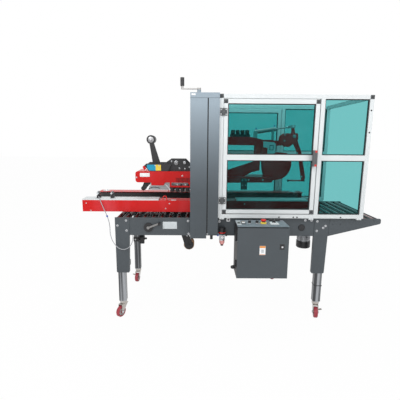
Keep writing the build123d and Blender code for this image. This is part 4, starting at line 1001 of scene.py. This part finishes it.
class SEALER_OT_frame_trim(bpy.types.Operator):
    """Bolts, blank plates and covers on the bed, legs, columns and table"""

    bl_idname = "sealer.frame_trim"
    bl_label = "Frame trim"

    def execute(self, context):
        for name, side in SIDES.items():
            shift = FAR_LEG_SHIFT if side > 0 else 0.0
            bolts = Piece("frame_bolts_" + name, "frame", "bare_steel")
            bolts.bolts(EXIT_SLEEVE_BOLTS, SLEEVE_FACE, side)
            bolts.bolts([(x + shift, z) for x, z in INFEED_SLEEVE_BOLTS], SLEEVE_FACE, side)
            bolts.bolts(BED_BOLTS, BED_FACE, side)
            bolts.bolts([(22.8, 608)], COLUMN_FACE - 3, side)
            bolts.bolts(TABLE_BOLTS, BED_FACE, side, 4.0, "grey")
            bolts.done()

            covers = Piece("frame_covers_" + name, "frame", "frame_paint")
            lap = [(826, 583), (957, 615), (957, 698.6), (826, 698.6)]
            covers.plate("grey", lap, side * BED_FACE, side * (BED_FACE + 1.2), 0.4)
            plug = [(0, 0), (22, 0), (22, 4), (20, 6.5), (8, 7.5), (0, 7.5)]
            covers.turned("plastic", plug, (645, side * BED_FACE, 637), (0, side, 0))
            # Painted shade: a black strip in the seam between the column's two covers, and a dark band under
            # the crossbeam's cap
            seam = side * (COLUMN_FACE - 2)
            covers.block("socket", (15.6, side * (COLUMN_FACE - 3.2), 602), (22.4, seam, 1448.8))
            covers.block(
                "socket", (-COLUMN_EDGE, seam, 1448.4), (COLUMN_EDGE, side * (COLUMN_FACE + 0.1), 1449.8)
            )
            covers.done()

        plates = Piece("blank_plates", "frame", "silver_bar")
        plates.block("pale", (-269, -BED_FACE, 624), (-176, -BED_FACE - 0.8, 672), 0.3)
        rivet = [(0, 0), (1.8, 0), (1.2, 1.2), (0, 1.4)]
        for x in (-264, -181):
            for z in (629, 667):
                plates.turned("bolt", rivet, (x, -BED_FACE - 0.7, z), NEARWARD, 12)
        plates.block("white", (-81, -COLUMN_FACE, 1463), (-57, -COLUMN_FACE - 0.5, 1474), 0.2)
        plates.done()

        self.leg_fittings()
        self.undertray()
        return {"FINISHED"}

    def leg_fittings(self):
        """Clamps in the sleeves' lower ends, and the band round the near infeed tube."""
        fittings = Piece("leg_fittings", "frame", "black_plastic")
        grip = [(0, 0), (6, 0), (6, 6), (13, 9), (14, 14), (12, 22), (0, 22)]
        for side, starts, begin, finish in LEG_CLAMPS:
            inner, outer, inward = side * CLAMP_Y, side * (BED_FACE - 0.4), (0, -side, 0)
            for start in starts:
                low, high = start + begin, start + finish
                tube = start + (EXIT_TUBE if start < 0 else INFEED_TUBE)
                fittings.block("plastic", (low, inner, CLAMP_LOW), (high, side * 261.6, CLAMP_HIGH), 1.5)
                for x0, x1 in ((low, low + 3), (high - 3, high)):
                    fittings.block("plastic", (x0, inner, CLAMP_LOW), (x1, outer, CLAMP_HIGH), 1.0)
                fittings.bolt((tube - 12, inner, CLAMP_SCREW), inward, 4.0)
                fittings.turned("plastic", grip, (tube + 14, inner, CLAMP_SCREW), inward, 12)
                if side > 0:
                    knob = (high - 1, inner + 18, CLAMP_SCREW + 4)
                    fittings.rod("plastic", knob, (high + 22, *knob[1:]), 8, 2.0)
        fittings.ring("plastic", (756.3, -313.2, 226), (808.7, -260.8, 230.5), 1.4, flat="Z")
        fittings.done()

    def undertray(self):
        """Thin sheets below the exit half's rollers, with turned up edges."""
        tray = Piece("bed_undertray", "frame", "frame_paint")
        for side in SIDES.values():
            outer = side * (TRAY_OUTER + 1.5)
            tray.block("grey", (TRAY_START, side * TRAY_INNER, 580.6), (TRAY_END, outer, 581.8), 0.3)
            for y in (TRAY_INNER, TRAY_OUTER):
                tray.block("grey", (TRAY_START, side * y, 581), (TRAY_END, side * (y + 1.5), 590), 0.3)
        tray.done()


# Control box: the switches' corner, and the plates round them with their lean in degrees
SWITCH_CORNER = Vector((198.0, -436.0, BOX_HIGH.z))
SWITCH_PLATES = (
    ("pale", (2, -45, 0), (28, 45, 6), 1.2, 0), ("plastic", (6, -34, 5), (24, 10, 6.4), 0.3, 0),
    ("plastic", (32, -20, 0), (56, 20, 4), 1.2, 0), ("white", (35, -16, 2), (53, 0.4, 8), 0.8, 7),
    ("card", (35, -0.4, 2), (53, 16, 8), 0.8, -7), ("white", (210, -30, 0), (260, 30, 3), 0.8, 0),
    ("plastic", (216, 52, 0), (284, 64, 9), 1.5, 0),
)
KNOBS = ((83, 0, 0), (129, 0, 0), (234, 0, 3))
STOP_BUTTON = (169, 0, 0)
GLAND_SPOT = (198.2, -420, 404)


class SEALER_OT_box_trim(bpy.types.Operator):
    """Control box: switches and stop button on its top, and a cable gland on its side"""

    bl_idname = "sealer.box_trim"
    bl_label = "Control box trim"

    def execute(self, context):
        switches = Piece("control_switches", "frame", "black_plastic")
        for material, low, high, edge, lean in SWITCH_PLATES:
            turn = Matrix.Rotation(radians(lean), 4, "X") if lean else None
            switches.block(material, SWITCH_CORNER + Vector(low), SWITCH_CORNER + Vector(high), edge, turn)
        for spot in KNOBS:
            self.knob(switches, SWITCH_CORNER + Vector(spot))
        self.stop_button(switches, SWITCH_CORNER + Vector(STOP_BUTTON))
        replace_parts(switches.done(), "box_controls")

        gland = Piece("box_gland", "frame", "black_plastic")
        gland.turned("plastic", [(0, 0), (14, 0), (14, 5), (12.5, 6), (0, 6)], GLAND_SPOT, EXITWARD, 6)
        dome = [(0, 6), (11, 6), (11.5, 8), (11.5, 16), (9, 22), (6.5, 26), (0, 26)]
        gland.turned("plastic", dome, GLAND_SPOT, EXITWARD, 20)
        gland.done()
        return {"FINISHED"}

    def knob(self, piece, spot):
        """A turning switch: collar, grip with flat sides and a pale pointer."""
        x, y, z = spot
        piece.turned("bolt", [(0, 0), (12, 0), (12, 2), (11, 3.2), (0, 3.2)], spot)
        piece.turned("plastic", [(0, 3), (9.6, 3), (9.2, 15), (7.8, 17), (0, 17)], spot)
        piece.block("plastic", (x - 3.2, y - 10.4, z + 4), (x + 3.2, y + 10.4, z + 20), 1.2)
        piece.block("white", (x - 0.7, y - 9.6, z + 19.8), (x + 0.7, y - 1.0, z + 20.4))

    def stop_button(self, piece, spot):
        """The red mushroom on a black collar and a yellow ring."""
        piece.turned("yellow", [(0, 0), (19, 0), (19, 6), (17.5, 8), (0, 8)], spot)
        piece.turned("plastic", [(0, 8), (11, 8), (10.5, 15), (0, 15)], spot)
        crown = [(0, 14), (11, 14), (15.5, 16.5), (16.5, 20), (15.5, 23.5), (12, 26), (6, 27.2), (0, 27.5)]
        piece.turned("button", crown, spot, UP, 32)


# Casters: each one's place and the way its brake tab leans, which is nought where it has none
CASTERS = (("exit_near", 0), ("exit_far", -1), ("infeed_near", 1), ("infeed_far", 0))
STEM_COLLAR_HEIGHT = 111.5
TAB_HEIGHT, TAB_LEAN, TAB_REACH = 60.0, 16, 28
TAB_HALF = Vector((11, 12, 1.2))


class SEALER_OT_caster_trim(bpy.types.Operator):
    """Wheel hubs, axle nuts and brake tabs of the casters"""

    bl_idname = "sealer.caster_trim"
    bl_label = "Caster trim"

    def execute(self, context):
        for name, tab in CASTERS:
            wheel = JOINTS[f"wheel_{name}_spin"]
            centre, axle = back(wheel["pos_m"]), Vector(wheel["axis"])
            stem = back(JOINTS[f"swivel_{name}_turn"]["pos_m"])
            hub = Piece("wheel_hub_" + name, "wheel_" + name, "caster_steel")
            fork = Piece("caster_nuts_" + name, "swivel_" + name, "caster_steel")
            rim = [(14.1, 9.3), (26.7, 9.3), (26.7, 10.2), (24, 11.6), (17, 12.0), (14.1, 11.4)]
            for way in (axle, -axle):
                hub.turned("hub", rim, centre, way, 32, ring=True)
                # Five dark discs of painted shade stand for the holes in each hub
                for i in range(5):
                    turn = Matrix.Rotation(2 * pi * i / 5, 4, axle)
                    spot = centre + turn @ Vector((0, 0, 20.3)) + way * 11.4
                    hub.disc("socket", spot, way, 2.6, 0.8, steps=12)
                fork.nut(centre + way * 17.4, way, 9.5, 5.0)
            fork.collar("bolt", (stem.x, stem.y, STEM_COLLAR_HEIGHT), UP, 22, 25.4, -0.4, -3.2, 32)
            if tab:
                trail = Vector((centre.x - stem.x, centre.y - stem.y, 0)).normalized()
                facing = Matrix((trail, axle, Vector(UP))).transposed().to_4x4()
                lean = Matrix.Rotation(tab * radians(TAB_LEAN), 4, "X")
                spot = stem + trail * TAB_REACH + axle * tab * TAB_REACH
                spot.z = TAB_HEIGHT
                fork.block("zinc", spot - TAB_HALF, spot + TAB_HALF, 0.8, facing @ lean)
            hub.done()
            fork.done()
        return {"FINISHED"}


# Side belts: screws as X and Z, the small arch on a housing's top, and the sensors' places and height
BELT_SCREWS = (
    (-257, 744), (-231, 778), (-761, 728), (-790, 778), (250, 744), (276, 778), (640, 744), (760, 778)
)
ARCH = ((-277, -3), (-277, 18), (-270, 27), (-258, 27), (-251, 18), (-251, -3))
SENSOR_X, SENSOR_Z = (-718, -625), 841
MOTOR_SCREWS = ((-34, 672), (-34, 710), (34, 672), (34, 710))


class SEALER_OT_belt_trim(bpy.types.Operator):
    """Fasteners of the side belts, the motors' grilles, and the sensors' small parts"""

    bl_idname = "sealer.belt_trim"
    bl_label = "Side belt trim"

    def execute(self, context):
        for name, side in SIDES.items():
            body = name + "_belt"
            trim = Piece("belt_fasteners_" + name, body, "bare_steel")
            trim.bolts(BELT_SCREWS, BELT_FACE, side, 3.0)
            trim.bent("button", [(x, side * 212, BELT_TOP + z) for x, z in ARCH], 3.0)
            trim.block("pale", (-219, side * 232, BELT_TOP - 0.1), (-187, side * 208, BELT_TOP + 2.2), 0.5)
            motor_low, motor_high = span("belt_motor_" + name)
            drive = (motor_low.x + motor_high.x) / 2
            if side > 0:
                seat = [(0, -0.2), (27, -0.2), (27, 3), (24, 5), (14, 6), (13, 9), (0, 9)]
                for x in (BELT_EXIT + 55, drive):
                    trim.turned("bolt", seat, (x, DRUM_Y, BELT_TOP), UP, 32)
            trim.done()

            grille = Piece("motor_grille_" + name, body, "black_plastic")
            centre = Vector((drive, side * DRUM_Y, motor_low.z))
            for radius in (10, 18, 26, 34):
                grille.collar("plastic", centre, UP, radius - 1.4, radius + 1.4, 0.5, -0.9, 32)
            for i in range(4):
                turn = Matrix.Rotation(pi * i / 4, 4, "Z")
                grille.block(
                    "plastic", centre - Vector((37, 1.2, 0.7)), centre + Vector((37, 1.2, 0.5)), 0.0, turn
                )
            grille.bolts([(drive + x, z) for x, z in MOTOR_SCREWS], DRUM_Y + 40, side, 3.4)
            terminals = (drive - 66, side * (DRUM_Y - 24), 586), (drive - 42, side * (DRUM_Y + 26), 642)
            grille.block("plastic", *terminals, 3.0)
            grille.done()
        self.sensors()
        return {"FINISHED"}

    def sensors(self):
        """Lenses, clamp screws and the lead's relief on the near belt's sensors."""
        sensors = Piece("sensor_details", "near_belt", "black_plastic")
        lens = [(0, 0), (6.5, 0), (5.5, 1.6), (0, 2.2)]
        end_cap = [(0, 0), (7.2, 0), (7.0, 5), (4.2, 8), (0, 8)]
        for x in SENSOR_X:
            for y in (-192, -174):
                sensors.collar("shaft", (x, y, SENSOR_Z), FARWARD, 8.1, 10.5, 4, steps=6)
            sensors.turned("socket", lens, (x, -164, SENSOR_Z), FARWARD)
            sensors.bolt((x, -181, SENSOR_Z + 10), UP, 4.0)
            sensors.turned("pale", end_cap, (x, -205.8, SENSOR_Z), NEARWARD)
        start, ahead = Vector(LEAD_ROUTE[0]), Vector(LEAD_ROUTE[1])
        sensors.turned("plastic", [(0, -2), (5.2, -2), (4.6, 6), (3.2, 12), (0, 12)], start, ahead - start)
        sensors.done()


# Head: faces across the machine, and what sits on them as X and Z
TAPE_PLATE_Y, SIDE_PLATE_Y, ROLLER_RIM_Y, BRACKET_Y = 40, 62, 70, 86
HEAD_BOLTS = ((-474, 937), (-186, 889), (-128, 887), (-150, 950), (320, 925), (420, 925))
ROLLER_RIMS = ((-194, 1041, 15), (-134, 1042, 11))
SIDE_PLATE_BOLTS = ((-172, 1001), (-132, 998), (-228, 1050), (-100, 1010))
TAPE_PLATE_BOLTS = ((-390, 866), (-150, 940), (-290, 895))
PRESS_LEVER = ((-283, 884), (-275, 887), (-241, 853), (-247, 847))
PRESS_SPRING = ((-396, 850), (-380, 858), (-358, 862), (-336, 860), (-316, 853))
PRESS_BRACKET = ((-196, 906), (-90, 906), (-90, 937), (-196, 937))
TEAL_PATCH = ((-384, 986), (-398, 1003), (-400, 1027), (-338, 1027), (-338, 986))
YELLOW_PATCH = ((-338, 986), (-338, 1027), (-301, 1027), (-301, 986))
QUICK_LEVER = ((-416, 982), (-402, 982), (-408, 1010), (-420, 1022), (-430, 1012))


class SEALER_OT_head_trim(bpy.types.Operator):
    """Head: blank patches, bolts, levers, spring and the tape reel's hub"""

    bl_idname = "sealer.head_trim"
    bl_label = "Head trim"

    def execute(self, context):
        for name, side in SIDES.items():
            way, face = (0, side, 0), side * HEAD_FACE
            trim = Piece("head_fasteners_" + name, "head", "bare_steel")
            trim.bolts(HEAD_BOLTS, HEAD_FACE, side, 3.6)
            trim.bolts(((-160, 884), (-108, 884)), HEAD_FACE, side, 5.0, "plastic")
            for x, z, radius in ROLLER_RIMS:
                bore = radius - 5
                rim = [(bore, 0), (radius, 0), (radius, 2.4), (radius - 1.5, 3.2), (bore, 3.2)]
                trim.turned("shaft", rim, (x, side * ROLLER_RIM_Y, z), way, 32, ring=True)
                trim.bolt((x, side * (ROLLER_RIM_Y - 0.2), z), way, 4.2)
            trim.bolts(SIDE_PLATE_BOLTS, SIDE_PLATE_Y, side, 3.8)
            trim.plate("bolt", PRESS_LEVER, side * 40.2, side * 44, 0.6)
            trim.bent("plastic", [(x, side * 42.5, z) for x, z in PRESS_SPRING], 2.2)
            trim.bolts(TAPE_PLATE_BOLTS, TAPE_PLATE_Y, side, 3.0)
            trim.bolts(((-314, 1022), (-342, 1022)), BRACKET_Y, side, 3.2)
            trim.plate("deep_red", PRESS_BRACKET, face, face + side * 0.8, 0.2)
            # Three dark blocks of painted shade stand for slots in the bracket
            for x in (-176, -148, -116):
                trim.block("socket", (x - 1.5, face + side * 0.7, 911), (x + 1.5, face + side * 1.0, 931))
            trim.done()

        patches = Piece("head_patches", "head", "silver_bar")
        patches.block("white", (-450, -HEAD_FACE, 942), (-381, -HEAD_FACE - 0.6, 969), 0.2)
        patches.plate("teal", TEAL_PATCH, -BRACKET_Y, -BRACKET_Y - 0.6)
        patches.plate("yellow", YELLOW_PATCH, -BRACKET_Y, -BRACKET_Y - 0.6)
        patches.done()

        lever = Piece("quick_lever", "head", "red_paint")
        lever.plate("red", QUICK_LEVER, -93, -BRACKET_Y - 0.7, 1.2)
        lever.bolt((-410, -93, 990), NEARWARD, 3.6)
        lever.done()

        reel_low, reel_high = span("tape_core_top")
        hub_x, hub_z = (reel_low.x + reel_high.x) / 2, (reel_low.z + reel_high.z) / 2
        hub = Piece("reel_hub_top", "head", "bare_steel")
        hub.turned("shaft", [(0, 44), (21, 44), (21, 46), (17, 48), (0, 48)], (hub_x, 0, hub_z), NEARWARD, 32)
        hub.nut((hub_x, -48, hub_z), NEARWARD, 8.0, 6.0)
        # Three dark discs of painted shade stand for holes in the hub
        for i in range(3):
            turn = Matrix.Rotation(2 * pi * i / 3 + 0.4, 4, "Y")
            spot = Vector((hub_x, -44, hub_z)) + turn @ Vector((0, 0, 23))
            hub.disc("socket", spot, NEARWARD, 3, 0.5, steps=16)
        hub.done()
        return {"FINISHED"}


class SEALER_OT_lower_trim(bpy.types.Operator):
    """Lower tape unit, air regulator and gantry: nuts, collars, fittings and gauge"""

    bl_idname = "sealer.lower_trim"
    bl_label = "Lower trim"

    def execute(self, context):
        reel_low, reel_high = span("tape_core_lower")
        x, z = (reel_low.x + reel_high.x) / 2, (reel_low.z + reel_high.z) / 2
        reel = Piece("reel_hub_lower", "frame", "bare_steel")
        reel.turned("plastic", [(0, 50), (14, 50), (14, 52), (10, 54), (0, 54)], (x, 0, z), NEARWARD, 32)
        reel.nut((x, -54, z), NEARWARD, 8.0, 5.5, "plastic")
        reel.plate("red", [(-106, 558), (-90, 556), (-84, 576), (-100, 579)], -55, -50.2, 0.8)
        reel.bolts(((-70, 566), (-20, 566), (-118, 500)), 50, -1, 3.6)
        reel.done()

        self.regulator()

        lift = Piece("lift_collars", "frame", "bare_steel")
        for side in SIDES.values():
            for x, radius in ((-36, 8), (36, 10)):
                bore = radius + 0.1
                ring = [(bore, 0), (radius + 7, 0), (radius + 7, 9), (radius + 5.5, 10), (bore, 10)]
                lift.turned("shaft", ring, (x, side * (BED_FACE + 31), 608.2), UP, 24, ring=True)
        lift.done()
        return {"FINISHED"}

    def regulator(self):
        """The ribbed knob, gauge, hose fittings and bowl collar of the air regulator."""
        air = Piece("regulator_details", "frame", "motor_metal")
        x, y, side_z = 119.0, -BED_FACE - 34, 592
        air.turned("button", [(21.1, 0), (23, 0.5), (23, 4.5), (21.1, 5)], (x, y, 610), UP, 32, ring=True)
        for i in range(16):
            angle = 2 * pi * i / 16
            spot, half = Vector((x + 21 * cos(angle), y + 21 * sin(angle), 631)), Vector((1.2, 1.6, 11))
            air.block("plastic", spot - half, spot + half, 0.5, Matrix.Rotation(angle, 4, "Z"))
        gauge = (x, y - 16.8, 585)
        air.turned("bolt", [(0, 0), (9.5, 0), (9.5, 7), (8.5, 8), (0, 8)], gauge, NEARWARD)
        air.disc("white", gauge, NEARWARD, 8, 8.4, 8)
        air.block("button", (x - 0.6, y - 25.5, 584), (x + 0.6, y - 25.1, 591))
        for way, material in ((-1, "blue"), (1, "plastic")):
            spot = (x + way * 16.8, y, side_z)
            air.disc("bolt", spot, (way, 0, 0), 6.5, 5, steps=6)
            air.turned(material, [(0, 5), (6, 5), (6, 14), (5, 16), (0, 16)], spot, (way, 0, 0))
        bowl_ring = [(17.2, 0), (19.5, 0.5), (19.5, 6.5), (17.2, 7)]
        air.turned("bolt", bowl_ring, (x, y, 560.5), UP, 32, ring=True)
        air.collar("plastic", (x, y, 523.5), UP, 7.2, 8.6, 5, steps=16)
        air.done()


# Flap folding gear: how far its plates' faces are from the middle, and what sits on them as X and Z
BEAM_FACE, EAR_FACE, WEB_FACE, SHOE_FACE, NECK_FACE = 28, 34, 38.3, 32, 33.8
BEAM_BOLTS = ((100, 1196), (180, 1196), (260, 1196), (340, 1190))
EAR_BOLTS = ((575, 1240), (575, 1200))
UPPER_WEB_BOLTS = ((387, 1170),)
LOWER_WEB_BOLTS = ((387, 1015), (150, 966), (250, 1000), (340, 1032))
NECK = (
    (424, 1194), (500, 1188), (514, 1176), (514, 1114), (500, 1108), (456, 1108), (456, 1148), (424, 1154)
)
NECK_RECESS = ((470, 1132), (498, 1132), (498, 1168), (470, 1168))
NECK_PLATE = ((474, 1136), (494, 1136), (494, 1164), (474, 1164))
NECK_BOLTS = ((436, 1182), (506, 1122), (462, 1120))
SHOE_BOLTS = ((470, 1050), (560, 1070), (520, 960), (590, 1000))

# Cylinder: the lever's end from the pivot, the slope of its line, and its ends behind the lever's
LEVER_END = Vector((-4, 0, 69))
CYLINDER_SLOPE = radians(8.6)
CYLINDER_REAR, CYLINDER_FRONT = 274, 125
VALVE_START, VALVE_PITCH = 196, 34


class SEALER_OT_folder_trim(bpy.types.Operator):
    """Flap folding gear: pivot nuts, cylinder caps, valves, switch cover and neck brackets"""

    bl_idname = "sealer.folder_trim"
    bl_label = "Flap folder trim"

    def execute(self, context):
        pivot = back(JOINTS["flap_arm_swing"]["pos_m"])
        lever = pivot + LEVER_END
        ahead = Vector((cos(CYLINDER_SLOPE), 0, sin(CYLINDER_SLOPE)))
        self.beam(pivot)
        self.cylinder(lever, ahead)

        piston = Piece("fork_pins", "flap_piston", "bare_steel")
        pin = [(0, 0), (6.4, 0), (6.4, 2), (5.4, 3), (0, 3)]
        for side in SIDES.values():
            piston.turned("bolt", pin, (lever.x, side * 13.4, lever.z), (0, side, 0))
        piston.collar("bolt", lever - ahead * 41, ahead, 5.1, 8.5, 5, steps=6)
        piston.done()

        arm = Piece("folder_arm_ends", "flap_folder", "black_plastic")
        foot = pivot.z - 320
        for x in (pivot.x - 19, pivot.x + 98):
            arm.rod("press", (x - 5, 0, foot), (x + 5, 0, foot), 7.5, 1.2)
        for side in SIDES.values():
            arm.bolts(((pivot.x + 78, pivot.z - 290), (pivot.x + 36, pivot.z - 120)), 6, side, 4.0)
        arm.done()
        return {"FINISHED"}

    def beam(self, pivot):
        """Fasteners and the pale neck plates of the beam and the plough shoe."""
        beam = Piece("folder_fasteners", "head", "bare_steel")
        for side in SIDES.values():
            beam.nut((pivot.x, side * EAR_FACE, pivot.z), (0, side, 0), 13, 7.0, "shaft")
            beam.bolts(BEAM_BOLTS, BEAM_FACE, side, 4.2, "red")
            beam.bolts(EAR_BOLTS, EAR_FACE, side, 4.2, "shaft")
            beam.bolts(UPPER_WEB_BOLTS, EAR_FACE, side, 3.6, "red")
            beam.bolts(LOWER_WEB_BOLTS, WEB_FACE, side, 3.6, "red")
            # The pale neck plates stand for the shoe's steel bracket, and their pale tone is also a painted
            # reflection of light on it; the dark plate between them is painted shade in the recess
            beam.plate("pale", NECK, side * SHOE_FACE, side * NECK_FACE, 0.4)
            beam.plate("socket", NECK_RECESS, side * 33.7, side * 34.1)
            beam.plate("pale", NECK_PLATE, side * 33.9, side * 34.8, 0.3)
            beam.bolts(NECK_BOLTS, NECK_FACE, side, 3.4)
            beam.bolts(SHOE_BOLTS, SHOE_FACE, side, 3.8, "red")
        beam.done()

    def cylinder(self, lever, ahead):
        """The cylinder's caps and hose fittings, the valves on the beam and the switch's cover."""
        air = Piece("cylinder_details", "head", "bare_steel")
        rear, front = lever - ahead * CYLINDER_REAR, lever - ahead * CYLINDER_FRONT
        cup = [(0, -1.2), (15.6, -1.2), (15.6, 14), (14.1, 15), (14.1, 0), (0, 0)]
        air.turned("shaft", cup, rear, ahead, 32)
        nose = [(5.5, -14), (15.6, -14), (15.6, 0), (9, 0.6), (9, 6), (5.5, 6)]
        air.turned("shaft", nose, front, ahead, 32, ring=True)
        for end in (rear + ahead * 8, front - ahead * 8):
            port = end + Vector((0, 0, 14))
            air.disc("bolt", port, UP, 5, 6, steps=6)
            air.turned("blue", [(0, 6), (4.4, 6), (4.4, 13), (3.6, 14.5), (0, 14.5)], port, UP)
        for i in range(4):
            x = VALVE_START + VALVE_PITCH * i
            air.block("plastic", (x + 3, -30, 1247), (x + 23, -17.8, 1268), 1.5)
            air.turned("amber", [(0, 0), (2, 0), (1.6, 1), (0, 1.2)], (x + 13, -30, 1262), NEARWARD, 12)
            air.turned("white", [(0, 0), (4, 0), (3.6, 2.4), (0, 2.6)], (x + 13, -6, 1272), UP, 16)
            air.disc("blue", (x + 13, 17.8, 1256), FARWARD, 4.6, 8, steps=16)
        air.block("plastic", (268, -105.6, 882), (304, -102.8, 930), 0.8)
        air.bolts([(x, z) for x in (274, 298) for z in (888, 924)], 105.6, -1, 2.4)
        air.done()


class SEALER_PT_panel(bpy.types.Panel):
    """Lists the sealer's pieces in the sidebar"""

    bl_idname = "SEALER_PT_panel"
    bl_label = "Carton sealer"
    bl_space_type = "VIEW_3D"
    bl_region_type = "UI"
    bl_category = "Sealer"

    def draw(self, context):
        for operator in OPERATORS:
            self.layout.operator(operator.bl_idname)


OPERATORS = [
    SEALER_OT_stage, SEALER_OT_finishes, SEALER_OT_sensor_lead, SEALER_OT_guard_trim, SEALER_OT_frame_trim,
    SEALER_OT_box_trim, SEALER_OT_caster_trim, SEALER_OT_belt_trim, SEALER_OT_head_trim, SEALER_OT_lower_trim,
    SEALER_OT_folder_trim,
]
CLASSES = [SealerColours, SealerSizes, *OPERATORS, SEALER_PT_panel]


def register():
    for one in CLASSES:
        bpy.utils.register_class(one)
    bpy.types.Scene.sealer_colours = PointerProperty(type=SealerColours)
    bpy.types.Scene.sealer_sizes = PointerProperty(type=SealerSizes)


def unregister():
    del bpy.types.Scene.sealer_sizes
    del bpy.types.Scene.sealer_colours
    for one in reversed(CLASSES):
        bpy.utils.unregister_class(one)


def main():
    register()
    for operator in OPERATORS:
        group, name = operator.bl_idname.split(".")
        getattr(getattr(bpy.ops, group), name)()


if __name__ == "__main__":
    main()
